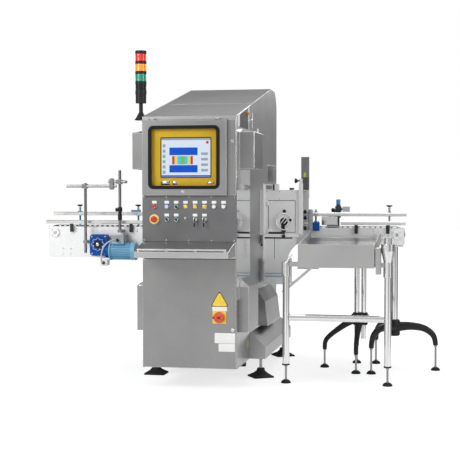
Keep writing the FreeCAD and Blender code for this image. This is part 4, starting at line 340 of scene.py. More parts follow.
# the last argument of paintSteel sets the strength of the painted highlight along folds and sheet edges
finish = {
    "steelFront": paintSteel("steelFront", (0.315, 0.315, 0.312), 0.34, (60, 60, 1.0), 0.10, edge=0.005, edgeHighlight=0.7),
    "steelHood": paintSteel("steelHood", (0.34, 0.34, 0.337), 0.30, (60, 60, 1.0), 0.10, edge=0.007, edgeHighlight=0.85),
    "steelAcross": paintSteel("steelAcross", (0.54, 0.54, 0.535), 0.30, (1.2, 60, 60), 0.10, edge=0.005, edgeHighlight=0.7),
    "steelWindow": paintSteel("steelWindow", (0.37, 0.37, 0.367), 0.30, (1.2, 60, 60), 0.10, edge=0.005, edgeHighlight=0.7),
    "steelPlinth": paintSteel("steelPlinth", (0.37, 0.37, 0.37), 0.36, (60, 60, 1.0), 0.12, edgeHighlight=0.05),
    "steelRoof": paintSteel("steelRoof", (0.43, 0.43, 0.43), 0.38, (60, 1.2, 60), 0.10, edgeHighlight=0.0),
    "steelTower": paintSteel("steelTower", (0.46, 0.46, 0.458), 0.36, (60, 60, 1.0), 0.12, edgeHighlight=0.05),
    "steelCabinet": paintCabinet("steelCabinet", (0.40, 0.40, 0.395)),
    "steelPale": paintSteel("steelPale", (0.86, 0.86, 0.855), 0.40, (60, 60, 1.0), 0.06, 0.05, 0.35, 0.004, 0.5),
    "steelTable": paintSteel("steelTable", (0.48, 0.48, 0.475), 0.34, (1.2, 60, 60), 0.10),
    "steelBright": paintSteel("steelBright", (0.70, 0.70, 0.69), 0.16, (40, 40, 3), 0.05),
    "steelTube": paintSteel("steelTube", (0.74, 0.74, 0.735), 0.10, (30, 30, 2), 0.04, 0.05, 1.0, 0.002, 0.0),
    "steelRod": paintSteel("steelRod", (0.30, 0.30, 0.298), 0.24, (30, 30, 30), 0.05, 0.08, 1.0, 0.002, 0.3),
    # very dark steel for the niche plate: painted shade of the recess under the roof
    "nicheShadeSteel": paintSteel("nicheShadeSteel", (0.13, 0.13, 0.132), 0.30, (60, 60, 1.0), 0.10, edge=0.001, edgeHighlight=0.0),
    "steelDull": paintSteel("steelDull", (0.34, 0.34, 0.34), 0.42, (30, 30, 30), 0.15, 0.15),
    "panelGrey": paintMoulded("panelGrey", (0.155, 0.155, 0.158), 0.44, 500.0, 0.10, 0.25),
    "rubberBlack": paintMoulded("rubberBlack", (0.018, 0.018, 0.019), 0.62, 300.0, 0.35, 0.0, 0.25),
    "gasketBlack": paintMoulded("gasketBlack", (0.006, 0.006, 0.007), 0.55, 300.0, 0.2, 0.0, 0.2, 0.0, 0.0),
    "plasticBlack": paintMoulded("plasticBlack", (0.022, 0.022, 0.024), 0.38, 450.0, 0.20),
    "castBlack": paintMoulded("castBlack", (0.020, 0.020, 0.021), 0.45, 220.0, 0.40, 0.0, 0.2),
    "redGloss": paintMoulded("redGloss", (0.62, 0.025, 0.018), 0.22, 300.0, 0.04, 0.0, 0.08, 0.3),
    "orangeGloss": paintMoulded("orangeGloss", (0.72, 0.11, 0.03), 0.26, 300.0, 0.05, 0.0, 0.08, 0.3),
    "blueGloss": paintMoulded("blueGloss", (0.52, 0.58, 0.88), 0.24, 300.0, 0.05, 0.0, 0.08, 0.3),
    "airBlue": paintMoulded("airBlue", (0.03, 0.36, 0.76), 0.30, 300.0, 0.08),
    "whitePlastic": paintMoulded("whitePlastic", (0.80, 0.80, 0.78), 0.38, 420.0, 0.08, 0.0, 0.04),
    "yellowGloss": paintMoulded("yellowGloss", (0.86, 0.62, 0.05), 0.25, 300.0, 0.05, 0.0, 0.07, 0.3),
    "tealGloss": paintMoulded("tealGloss", (0.03, 0.36, 0.36), 0.28, 300.0, 0.05, 0.0, 0.07, 0.2),
    "amberGloss": paintMoulded("amberGloss", (0.85, 0.33, 0.02), 0.25, 300.0, 0.05, 0.0, 0.07, 0.3),
    "chainGrey": paintMoulded("chainGrey", (0.50, 0.51, 0.52), 0.42, 260.0, 0.15, 0.0, 0.08),
    "castBlue": paintMoulded("castBlue", (0.001, 0.075, 0.32), 0.40, 160.0, 0.45, 0.0, 0.15, 0.0, 0.2),
    "paintLightBlue": paintMoulded("paintLightBlue", (0.12, 0.30, 0.47), 0.38, 200.0, 0.35, 0.0, 0.12, 0.1),
    "castGrey": paintMoulded("castGrey", (0.36, 0.37, 0.38), 0.45, 160.0, 0.35, 0.3, 0.12),
    "jacketGrey": paintMoulded("jacketGrey", (0.60, 0.62, 0.65), 0.48, 500.0, 0.20),
    "hoseRed": paintMoulded("hoseRed", (0.70, 0.05, 0.04), 0.30, 400.0, 0.08),
    "legendWhite": paintMoulded("legendWhite", (0.84, 0.84, 0.82), 0.45, 500.0, 0.05, 0.0, 0.04),
    "creamYellow": paintMoulded("creamYellow", (0.90, 0.68, 0.20), 0.30, 400.0, 0.05, 0.0, 0.05),
    "tagGreen": paintMoulded("tagGreen", (0.50, 0.62, 0.06), 0.42, 350.0, 0.10),
    "paneClear": paintPane("paneClear"),
    "railWhite": paintMoulded("railWhite", (0.72, 0.72, 0.71), 0.24, 300.0, 0.05, 0.75, 0.05),
    "screenPale": paintGlow("screenPale", (0.78, 0.88, 1.0), 1.0),
    "screenBlue": paintGlow("screenBlue", (0.0, 0.095, 0.68), 1.0),
    "screenCyan": paintGlow("screenCyan", (0.12, 0.66, 0.72), 0.95),
    "screenGreen": paintGlow("screenGreen", (0.16, 0.62, 0.24), 0.95),
    "screenYellow": paintGlow("screenYellow", (0.84, 0.78, 0.22), 0.95),
    "screenRed": paintGlow("screenRed", (0.66, 0.05, 0.05), 0.95),
    "screenGrey": paintGlow("screenGrey", (0.40, 0.46, 0.54), 0.9),
}


def paintZones(name, base, other, axis, level, above=True, rough=0.4, shine=0.35):
    # Two paints on one casting, split by one Object coordinate; the fine skin of paintMoulded stays.
    material = paintMoulded(name, base, rough, 220.0, 0.3, 0.0, 0.08, 0.0, shine)
    tree = material.node_tree
    shader = tree.nodes["Principled BSDF"]
    old = shader.inputs["Base Color"].links[0].from_socket
    coords = addNode(tree, "ShaderNodeTexCoord")
    split = addNode(tree, "ShaderNodeSeparateXYZ", {"Vector": coords.outputs["Object"]})
    side = addNode(tree, "ShaderNodeMath", {0: split.outputs[axis], 1: level}, operation="GREATER_THAN" if above else "LESS_THAN")
    mix = addNode(tree, "ShaderNodeMix", {"Factor": side.outputs[0]}, data_type="RGBA")
    tree.links.new(old, mix.inputs[6])
    mix.inputs[7].default_value = (*other, 1)
    tree.links.new(mix.outputs[2], shader.inputs["Base Color"])
    return material


def paintBrackets(name):
    # Rail brackets: light blue castings before the cabinet, bare grey ones after it, black clips on the near rail.
    material = paintZones(name, (0.05, 0.33, 0.55), (0.33, 0.34, 0.35), "X", 0.0)
    tree = material.node_tree
    shader = tree.nodes["Principled BSDF"]
    old = shader.inputs["Base Color"].links[0].from_socket
    coords = addNode(tree, "ShaderNodeTexCoord")
    split = addNode(tree, "ShaderNodeSeparateXYZ", {"Vector": coords.outputs["Object"]})
    near = addNode(tree, "ShaderNodeMath", {0: split.outputs["Y"], 1: (1080.0 - frameShift[1]) / 1000}, operation="LESS_THAN")
    mix = addNode(tree, "ShaderNodeMix", {"Factor": near.outputs[0]}, data_type="RGBA")
    tree.links.new(old, mix.inputs[6])
    mix.inputs[7].default_value = (0.02, 0.02, 0.021, 1)
    tree.links.new(mix.outputs[2], shader.inputs["Base Color"])
    return material


finish["bezelYellow"] = paintZones("bezelYellow", (0.71, 0.45, 0.03), (0.30, 0.30, 0.30), "Y", (3.0 - frameShift[1]) / 1000, True, 0.42, 0.12)
finish["motorBlue"] = paintZones("motorBlue", (0.19, 0.43, 0.61), (0.36, 0.38, 0.40), "Z", 0.8775)
finish["airUnit"] = paintZones("airUnit", (0.035, 0.05, 0.055), (0.55, 0.55, 0.60), "X", 0.7145)
finish["columnGrey"] = paintZones("columnGrey", (0.09, 0.09, 0.09), (0.20, 0.20, 0.20), "Z", 1.345)
finish["lensStack"] = paintLenses("lensStack", [(1.90, (0.01, 0.24, 0.15)), (2.0, (0.90, 0.30, 0.02)), (2.06, (0.72, 0.03, 0.02))])
finish["bracketPaint"] = paintBrackets("bracketPaint")
print("finishes ready:", len(finish))

nodeFinish = {
    "cabinet_shell": "steelCabinet", "roof_panels": "steelRoof", "tower_walls": "steelTower", "base_plinth": "steelPlinth",
    "levelling_feet": "rubberBlack", "upper_hoods": "steelHood", "lower_hoods": "steelHood", "lower_door": "steelFront", "lower_door_latch": "steelBright",
    "upper_door": "steelFront", "upper_door_latch": "steelBright", "hmi_door": "steelWindow", "hmi_latch": "steelBright",
    "window_gasket": "gasketBlack", "window_pane": "paneClear", "operator_screen": "bezelYellow", "control_panel": "panelGrey",
    "device_collars": "plasticBlack", "button_red": "redGloss", "button_blue": "blueGloss", "button_white_left": "whitePlastic",
    "button_white_right": "whitePlastic", "stop_button": "redGloss", "indicator_lamps": "yellowGloss", "selector_upper": "tealGloss",
    "selector_left": "plasticBlack", "selector_right": "plasticBlack", "key_left": "steelBright", "key_right": "steelBright",
    "keyboard_tray": "steelAcross", "main_switch_plate": "yellowGloss", "main_switch_knob": "orangeGloss",
    "signal_tower": "plasticBlack", "signal_lenses": "lensStack", "conveyor_frame": "steelPale", "conveyor_chain": "chainGrey",
    "drive_shaft": "steelBright", "idler_infeed": "steelBright", "idler_outfeed": "steelBright", "gear_reducer": "castBlue",
    "drive_motor": "motorBlue", "guide_rails": "railWhite", "rail_brackets": "bracketPaint", "sensor_stand": "steelRod",
    "tunnel_guards": "steelPale", "guard_door": "steelPale", "guard_wheel": "steelBright", "guard_knob": "plasticBlack",
    "reject_table": "steelTable", "drop_chute": "steelPale", "stand_frame": "steelTube", "support_tripod": "castBlack",
    "pneumatic_unit": "airUnit", "regulator_knob": "airBlue", "pusher_head": "steelBright",
    "sensor_column": "columnGrey", "xray_generator": "castGrey", "detector_unit": "castGrey", "electrical_plate": "castGrey",
}
for node, key in nodeFinish.items():
    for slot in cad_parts[node].material_slots:
        slot.material = finish[key]

# ---- operator screen ----

screen = {"left": -176.0, "right": 138.0, "bottom": 1331.0, "top": 1574.0, "face": 1.0}


def screenRect(x0, x1, z0, z1, lift, number, corner=1.0):
    centre = ((x0 + x1) / 2, screen["face"] + 0.6 - lift, (z0 + z1) / 2)
    p, f = softBlock(centre, (0, -1, 0), x1 - x0, z1 - z0, 0.4, corner, 0.05, 3)
    return p, f, number


def buildScreen():
    s = screen
    shapes = [screenRect(s["left"] + 1, s["right"] - 1, s["bottom"] + 1, s["top"] - 1, 0.0, 0)]
    for z0, z1 in ((1468, 1516), (1360, 1406)):
        shapes.append(screenRect(-125, 56, z0, z1, 0.3, 1))
    for x0, x1, number in ((-107, -92, 5), (-92, -72, 4), (-72, -54, 2), (-54, -26, 3), (-26, -8, 2), (-8, 11, 4), (11, 26, 5)):
        shapes.append(screenRect(x0, x1, 1411, 1462, 0.5, number, 0.5))
    shapes.append(screenRect(s["left"] + 1, s["right"] - 1, 1333, 1343, 0.3, 1))
    shapes.append(screenRect(s["left"] + 1, s["right"] - 1, 1562, 1573, 0.3, 6))
    for i in range(6):
        shapes.append(screenRect(-168, -150, 1352 + i * 33, 1372 + i * 33, 0.3, 6, 4))
    for i in range(4):
        shapes.append(screenRect(78, 122, 1366 + i * 34, 1382 + i * 34, 0.3, 6, 3))
    p, f = turnedShape((118, s["face"] + 0.2, 1547), (0, -1, 0), [(9, 0), (9, 0.4), (8.6, 0.5)], 24)
    shapes.append((p, f, 5))
    keys = ("screenPale", "screenBlue", "screenCyan", "screenGreen", "screenYellow", "screenRed", "screenGrey")
    makePiece("screenPicture", shapes, [finish[k] for k in keys], "upper_door")
    # dark seal round the display, and the bare plates under it
    ring = []
    for depth, grow in ((0.0, 6.0), (-1.2, 6.0), (-1.2, 0.5), (1.4, 0.5)):
        outline = roundedOutline(314 + 2 * grow, 243 + 2 * grow, 3 + grow, 5)
        ring.append(np.stack([outline[:, 0] - 19, np.full(len(outline), depth - 0.4), outline[:, 1] + 1452.5], axis=1))
    points = np.concatenate(ring)
    makePiece("displaySeal", [(points, gridFaces(4, len(ring[0]), True, True))], finish["rubberBlack"], "upper_door")
    plates = [softBlock((x, -0.4, 1295), (0, -1, 0), w, h, 0.8, 3, 0.3) for x, w, h in ((-150, 60, 26), (-88, 34, 22), (140, 44, 14))]
    makePiece("screenPlates", plates, finish["steelBright"], "upper_door")


buildScreen()
print("screen done")

# ---- control panel ----

panel = {"rowUpper": 1147.0, "rowLower": 1067.0, "first": -142.0, "pitch": 60.5, "stop": -222.0}


def buildPanelDetails():
    p = panel
    columns = [p["first"] + i * p["pitch"] for i in range(7)]
    plates = [softBlock((x, 0.0, p["rowUpper"] + 27), (0, -1, 0), 29, 17, 1.4, 1.5, 0.4) for x in [p["stop"]] + columns]
    for i in (0, 1, 3, 4):
        plates.append(softBlock((columns[i], 0.0, p["rowLower"] + 27), (0, -1, 0), 29, 17, 1.4, 1.5, 0.4))
    makePiece("legendPlates", plates, finish["legendWhite"], "machine")
    ring = [hollowed(turnedShape((p["stop"], 0.0, p["rowLower"]), (0, -1, 0), [(12, 2.52), (31.2, 2.4), (31.2, 2.7), (30, 3.2), (20, 3.2), (12, 2.9)], 48))]
    makePiece("stopRing", ring, finish["creamYellow"], "machine")
    rims = []
    for x in [p["stop"]] + columns:
        rims.append(turnedShape((x, 0.0, p["rowUpper"]), (0, -1, 0), [(13.0, 2.4), (14.8, 2.3), (14.8, 3.2), (13.6, 4.6), (12.9, 4.6)], 32))
    for i in (0, 1, 3, 4):
        rims.append(turnedShape((columns[i], 0.0, p["rowLower"]), (0, -1, 0), [(13.0, 2.4), (14.8, 2.3), (14.8, 3.2), (13.6, 4.6), (12.9, 4.6)], 32))
    rims = [hollowed(r) for r in rims]
    makePiece("collarRims", rims, finish["steelBright"], "machine")
    blank = [turnedShape((columns[2], 0.0, p["rowLower"] + 7), (0, -1, 0), [(9, 0), (9, 1.4), (7.5, 2.4), (0.5, 2.6)], 28)]
    makePiece("pilotBlank", blank, finish["steelDull"], "machine")


def hollowed(shape):
    # The same ring without its end caps, closed along its inner edge instead.
    points, faces = shape
    around = len(faces[-1])
    rows = len(points) // around
    return points, gridFaces(rows, around, True, True)


buildPanelDetails()
print("control panel done")


def buildDeviceHeads():
    p = panel
    columns = [p["first"] + i * p["pitch"] for i in range(7)]
    mushroom = [(7.9, 3.0), (7.9, 6.4), (11, 6.6), (10, 9.5), (12, 12), (18.4, 14.5), (20.2, 17.5), (20.2, 21.5), (18.4, 25.4), (13.5, 27.6), (6, 28.2), (0.4, 28.3)]
    head = turnedShape((p["stop"], 0.3, p["rowLower"]), (0, -1, 0), mushroom, 48)
    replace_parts(makePiece("stopHead", [head], finish["redGloss"], "stop_button", 60), "stop_button")
    cap = [(7.9, 2.5), (7.9, 5.7), (11.8, 6.0), (12.0, 10.0), (11.2, 11.6), (9.4, 12.0), (8.6, 11.3), (0.4, 11.0)]
    for name, body, node, x, key in (("redCap", "red_button", "button_red", p["stop"], "redGloss"), ("blueCap", "blue_button", "button_blue", columns[0], "blueGloss"),
                                     ("whiteCapLeft", "white_button_left", "button_white_left", columns[5], "whitePlastic"),
                                     ("whiteCapRight", "white_button_right", "button_white_right", columns[6], "whitePlastic")):
        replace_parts(makePiece(name, [turnedShape((x, 0.0, p["rowUpper"]), (0, -1, 0), cap, 40)], finish[key], body, 60), node)
    lamps = []
    for x in columns[2:5]:
        dome = [(11.9, 2.8), (12.2, 4.2), (11.5, 6.2), (9.2, 8.0), (5.0, 9.0), (0.4, 9.3)]
        lamps.append(turnedShape((x, 0.0, p["rowUpper"]), (0, -1, 0), dome, 40))
    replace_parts(makePiece("lampDomes", lamps, finish["yellowGloss"], "machine", 60), "indicator_lamps")


buildDeviceHeads()


def selectorShapes(x, z, turn):
    # Chrome bezel, teal disc, and a handle whose plan is a stadium swept out along the axis.
    shapes = [hollowed(turnedShape((x, 0.0, z), (0, -1, 0), [(10.5, 3.0), (14.2, 3.0), (14.2, 6.0), (13.0, 8.0), (11.0, 8.6), (10.5, 8.0)], 40))]
    disc = turnedShape((x, 0.0, z), (0, -1, 0), [(10.6, 2.6), (10.6, 6.4), (9.8, 7.0), (0.4, 7.0)], 32)
    a = math.radians(turn)
    handle = softBlock((x, -6.0, z), (0, -1, 0), 24, 8.5, 12, 4.1, 1.6, up=(math.sin(a), 0, math.cos(a)))
    pointer = softBlock((x - 7 * math.cos(a), -17.8, z + 7 * math.sin(a)), (0, -1, 0), 8, 1.6, 0.5, 0.7, 0.1, up=(math.sin(a), 0, math.cos(a)))
    shapes = [(p, f, 0) for p, f in shapes]
    return shapes + [(*disc, 1), (*handle, 2), (*pointer, 3)]


def buildSelectors():
    p = panel
    kit = [finish["steelBright"], finish["tealGloss"], finish["plasticBlack"], finish["legendWhite"]]
    for name, body, node, x, z in (("selectorTop", "upper_selector", "selector_upper", p["first"] + p["pitch"], p["rowUpper"]),
                                   ("selectorLow", "left_selector", "selector_left", p["first"], p["rowLower"]),
                                   ("selectorLowRight", "right_selector", "selector_right", p["first"] + p["pitch"], p["rowLower"])):
        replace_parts(makePiece(name, selectorShapes(x, z, 45), kit, body, 50), node)


buildSelectors()


def buildKeys():
    # Lock barrel with a key in it; the bow is a black rounded plate and the fob hangs from a small ring.
    p = panel
    for name, body, node, x in (("keyLeft", "left_key", "key_left", p["first"] + 3 * p["pitch"]), ("keyRight", "right_key", "key_right", p["first"] + 4 * p["pitch"])):
        z = p["rowLower"]
        barrel = turnedShape((x, 0.0, z), (0, -1, 0), [(11, 2.6), (12, 3.4), (12, 8.5), (10.8, 9.8), (6, 9.8), (5.4, 9.2), (0.4, 9.2)], 36)
        blade = softBlock((x, -9.0, z), (0, -1, 0), 8.0, 2.2, 7, 0.8, 0.3, up=(1, 0, 0))
        bow = softBlock((x, -15.0, z - 2), (0, -1, 0), 4.2, 26, 15, 1.8, 1.2)
        wing = softBlock((x - 2.1, -22.0, z - 3), (-1, 0, 0), 17, 25, 0.4, 6, 0.1)
        ring = bentTube([(x + 5 * math.sin(t), -24.0, z - 16 - 5 * math.cos(t)) for t in np.linspace(0.3, 5.98, 9)], 0.8, 8, 3)
        fob = softBlock((x, -23.2, z - 33.5), (0, -1, 0), 9, 27, 2.2, 3.5, 0.6)
        shapes = [(*barrel, 0), (*blade, 0), (*bow, 1), (*wing, 1), (*ring, 0), (*fob, 1)]
        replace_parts(makePiece(name, shapes, [finish["steelBright"], finish["plasticBlack"]], body, 50), node)


buildKeys()
print("device heads done")

# ---- signal tower ----

tower = {"x": -335.0, "y": 100.0, "radius": 35.0, "lenses": (1941.0, 2005.0, 2069.0), "lensHeight": 46.0}


def buildSignalTower():
    t = tower
    shapes = []
    for low in t["lenses"]:
        z = np.linspace(0, t["lensHeight"], 37)
        # vertical profile with eleven shallow ribs: radius = 34.4 + 0.6 |sin|
        profile = np.stack([34.3 + 0.7 * np.abs(np.sin(z / t["lensHeight"] * np.pi * 11)), z], axis=1)
        shapes.append(turnedShape((t["x"], t["y"], low), (0, 0, 1), profile, 48))
    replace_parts(makePiece("lensColumn", shapes, finish["lensStack"], "machine", 60), "signal_lenses")
    cap = [turnedShape((t["x"], t["y"], 2134.5), (0, 0, 1), [(35.9, 0), (35.9, 0.2), (33.0, 0.4), (0.5, 0.45)], 40)]
    grille = []
    for i in range(4):
        grille.append(hollowed(turnedShape((t["x"], t["y"], 1890 + i * 8.4), (0, 0, 1), [(33, 0), (35.2, 0.6), (35.2, 3.6), (33, 4.2)], 40)))
    bolts = [turnedShape((t["x"] + dx, t["y"] + dy, 1703), (0, 0, 1), [(3.4, 10), (3.4, 12.5), (2.4, 13.4), (0.3, 13.6)], 12)
             for dx, dy in ((24, 0), (-24, 0), (0, 24), (0, -24))]
    makePiece("sounderRings", cap + grille + bolts, finish["plasticBlack"], "machine")


buildSignalTower()
print("signal tower done")

# ---- screws, seams and side fittings of the sheet work ----

sheetWork = {"screwRadius": 4.2, "screwHeight": 2.2}


def screwAt(x, y, z, axis):
    r, h = sheetWork["screwRadius"], sheetWork["screwHeight"]
    return turnedShape((x, y, z), axis, [(r, 0), (r, h * 0.3), (r * 0.75, h * 0.85), (r * 0.45, h), (0.3, h * 0.55)], 14)


def buildFasteners():
    screws = []
    for x in (-290, -145, 0, 145, 290):
        for z in (936, 1207):
            screws.append(screwAt(x, 0.0, z, (0, -1, 0)))
    for y in (560, 900, 1250, 1600):
        for z in (330, 1620):
            if not (780 < y < 1300 and z < 600):
                screws.append(screwAt(300, y, z, (1, 0, 0)))
                screws.append(screwAt(-300, y, z, (-1, 0, 0)))
    for x in (-270, -90, 90, 270):
        for z in (340, 760, 1180, 1560):
            screws.append(screwAt(x, 1660, z, (0, 1, 0)))
    for x in (350, 440, 530, 585):
        for z in (1192, 1242):
            screws.append(screwAt(x, 900, z, (0, -1, 0)))
    for x in (345, 475):
        for z in (606, 642):
            screws.append(screwAt(x, 892, z, (0, -1, 0)))
    makePiece("panelScrews", screws, finish["steelBright"], "machine", 50)
    # seam strips on the roof and the bare cover plate on the tower side
    slope = (1996.0 - 1711.0) / 1380.0
    strips = []
    for y in (578.0,):
        z = 1711 + slope * y
        strips.append(softBlock((0, y, z - 0.3), (0, -slope, 1), 598, 10, 1.2, 1.0, 0.4, up=(0, 1, slope)))
    makePiece("roofSeam", strips, finish["steelDull"], "machine")
    plate = [softBlock((300, 1440, 1373), (1, 0, 0), 400, 128, 1.4, 3, 0.5)]
    makePiece("sideCover", plate, finish["steelDull"], "machine")
    bare = [softBlock((300, 810, 1640), (1, 0, 0), 46, 70, 0.8, 3, 0.3)]
    makePiece("sidePlate", bare, finish["legendWhite"], "machine")
    # niche under the roof: a sloping dark plate, painted shade standing in for the recess, between bright edge strips
    corners = np.array([(122.0, 1646.0), (432.0, 1646.0), (432.0, 1790.0), (122.0, 1726.0)])
    ends = [np.stack([np.full(4, x), corners[:, 0], corners[:, 1]], axis=1) for x in (299.6, 301.0)]
    niche = (np.concatenate(ends), gridFaces(2, 4) + [[3, 2, 1, 0], [4, 5, 6, 7]])
    makePiece("sideNicheShade", [niche], finish["nicheShadeSteel"], "machine", 20)
    slits = [softBlock((300, y, z), (1, 0, 0), w, h, 1.4, 4, 0.3) for y, z, w, h in ((612, 1722, 16, 100), (476, 1722, 22, 138))]
    makePiece("sideSlit", slits, finish["rubberBlack"], "machine")
    bars = [softBlock((300, y, z), (1, 0, 0), w, h, 3.0, 3, 0.8) for y, z, w, h in ((446, 1722, 30, 146), (98, 1688, 34, 78), (585, 1716, 22, 100))]
    makePiece("nicheEdges", bars, finish["steelPale"], "machine")
    amber = [turnedShape((300, 404, 1752), (1, 0, 0), [(15, 0), (15, 3), (12, 4), (12, 9), (9, 12), (0.4, 13)], 28)]
    makePiece("sideLamp", amber, finish["amberGloss"], "machine", 50)
    knob = [turnedShape((300, 460, 1706), (1, 0, 0), [(9, 0), (9, 4), (5, 6), (5, 14), (11, 16), (12, 22), (9, 26), (0.4, 27)], 28),
            softBlock((300, 430, 1700), (1, 0, 0), 90, 8, 6, 3, 1.5)]
    makePiece("sideHandle", knob, finish["steelBright"], "machine", 50)


buildFasteners()
print("fasteners done")


def buildDoorPlates():
    white = [softBlock((x, 0.0, z), (0, -1, 0), w, h, 0.7, 4, 0.25) for x, z, w, h in ((229, 327, 130, 64), (241, 268, 104, 50), (196, 511, 94, 30))]
    makePiece("doorPlates", white, finish["legendWhite"], "lower_door")
    # bare three-cornered plate: rounded outline from three arcs
    corners = np.radians([90, 210, 330])
    arcs = []
    for c in corners:
        a = c + np.linspace(-np.pi / 3, np.pi / 3, 7)
        arcs.append(np.stack([44 * np.cos(c) + 8 * np.cos(a), 44 * np.sin(c) + 8 * np.sin(a)], axis=1))
    outline = np.concatenate(arcs)
    n = len(outline)
    plates = []
    for size, front in ((1.12, 0.0), (1.0, -1.1)):
        levels = ((1.0, 0.0), (1.0, -0.9), (0.985, -1.2))
        rings = [np.stack([196 + outline[:, 0] * size * k, np.full(n, front + y), 556 + outline[:, 1] * size * k], axis=1) for k, y in levels]
        plates.append((np.concatenate(rings), gridFaces(3, n) + [list(range(n))[::-1], list(range(2 * n, 3 * n))], len(plates)))
    makePiece("doorTriangle", plates, [finish["plasticBlack"], finish["yellowGloss"]], "lower_door")


buildDoorPlates()

switchShadeAndTip = {"x": 196.0, "z": 457.0, "front": -34.0, "length": 26.0, "width": 9.0, "tip": -31.0}


def buildSwitchShadeAndTip():
    # Dark patch at the centre of the main switch knob, a painted shadow of its grip, and a black tip at the grip's left
    # end.
    s = switchShadeAndTip
    # the first block is the painted shadow of the grip; the second is the black tip
    parts = [softBlock((s["x"], s["front"], s["z"]), (0, -1, 0), s["length"], s["width"], 0.6, 4, 0.2),
             softBlock((s["x"] + s["tip"], s["front"], s["z"]), (0, -1, 0), 12, s["width"], 0.6, 2, 0.2)]
    makePiece("switchShadeAndTip", parts, finish["plasticBlack"], "main_switch")


buildSwitchShadeAndTip()

# ---- conveyor, guards and drive ----

line = {"y": 1080.0, "plate": 54.25}


def boltHead(x, y, z, axis, radius=6.5, height=5.0):
    w = turnedShape((x, y, z), axis, [(radius * 1.25, 0), (radius * 1.25, 1.2), (radius, 1.3), (radius, height - 1), (radius * 0.85, height), (0.4, height)], 6)
    return w


def buildLineDetails():
    y0 = line["y"] - line["plate"]
    bolts = []
    for x in (-1240.2, 1240.2):
        for dx, dz in ((-22, -22), (22, -22), (-22, 22), (22, 22)):
            bolts.append(boltHead(x + dx, y0 - 9, 942.2 + dz * 0.9, (0, -1, 0), 4.0, 3.0))
    for x in (-1080, -620, 620, 1080):
        for z in (956, 970):
            bolts.append(boltHead(x, y0, z, (0, -1, 0), 4.5, 3.5))
            bolts.append(boltHead(x, line["y"] + line["plate"], z, (0, 1, 0), 4.5, 3.5))
    for sx in (-1, 1):
        for sz in (-1, 1):
            bolts.append(boltHead(-881 + sx * 50, 926, 858 + sz * 62, (0, -1, 0), 5.0, 4.0))
    makePiece("lineBolts", bolts, finish["steelBright"], "machine", 40)
    clamps = []
    stalks = []
    for x in (-1110.0, -661.0, 1178.0):
        top = 1080 + 34
        y = line["y"] + 126
        knob = [(5, 14), (5, 18), (11, 20), (19, 25), (21, 28), (20, 31), (12, 33), (0.4, 33.5)]
        clamps.append(lobedShape((x, y, top), (0, 0, 1), knob, 5, 0.10, 40))
        stalks.append(turnedShape((x, y, top - 1), (0, 0, 1), [(8, 0), (8, 13), (6, 15), (6, 18)], 20))
    stalks.append(boltHead(-727.0, 950.0, 1392, (0, 0, 1), 8.0, 5.0))
    makePiece("clampStalks", stalks, finish["steelBright"], "machine", 40)
    # black sleeves of the sensor rod's foot clamp, and the arm of the far bracket
    sleeves = [turnedShape((-727.0, 950.0, 1036), (0, 0, 1), [(10.5, 0), (15, 1), (15, 44), (12, 46), (12, 60), (17, 62), (17, 92), (13, 94), (10.5, 96)], 24)]
    sleeves.append(turnedShape((-738.0, 950.0, 1112), (-1, 0, 0), [(5, 0), (5, 8), (13, 10), (14, 14), (13, 20), (0.4, 21)], 20))
    makePiece("rodSleeves", sleeves, finish["plasticBlack"], "machine", 40)
    arm = [softBlock((-714, 1206, 1098), (1, 0, 0), 26, 20, 40, 5, 2), softBlock((-661, 1206, 1064), (0, 0, 1), 34, 30, 44, 7, 3)]
    makePiece("bracketArm", arm, finish["paintLightBlue"], "machine", 40)
    makePiece("clampKnobs", clamps, finish["plasticBlack"], "machine", 50)
    post = [softBlock((588, 893, 1298), (0, 0, 1), 20, 16, 32, 3, 1.5)]
    makePiece("postCap", post, finish["steelPale"], "machine", 40)
    star = [lobedShape((578, 893, 1316), (-1, 0, 0), [(5, 0), (5, 12), (10, 14), (15, 24), (16, 28), (14, 33), (0.4, 34)], 5, 0.12, 50),
            lobedShape((470, 886, 933), (0, -1, 0), [(4, 0), (4, 8), (11, 10), (13, 14), (12, 20), (0.4, 22)], 5, 0.12, 50)]
    makePiece("guardStars", star, finish["plasticBlack"], "machine", 50)


buildLineDetails()
print("line details done")


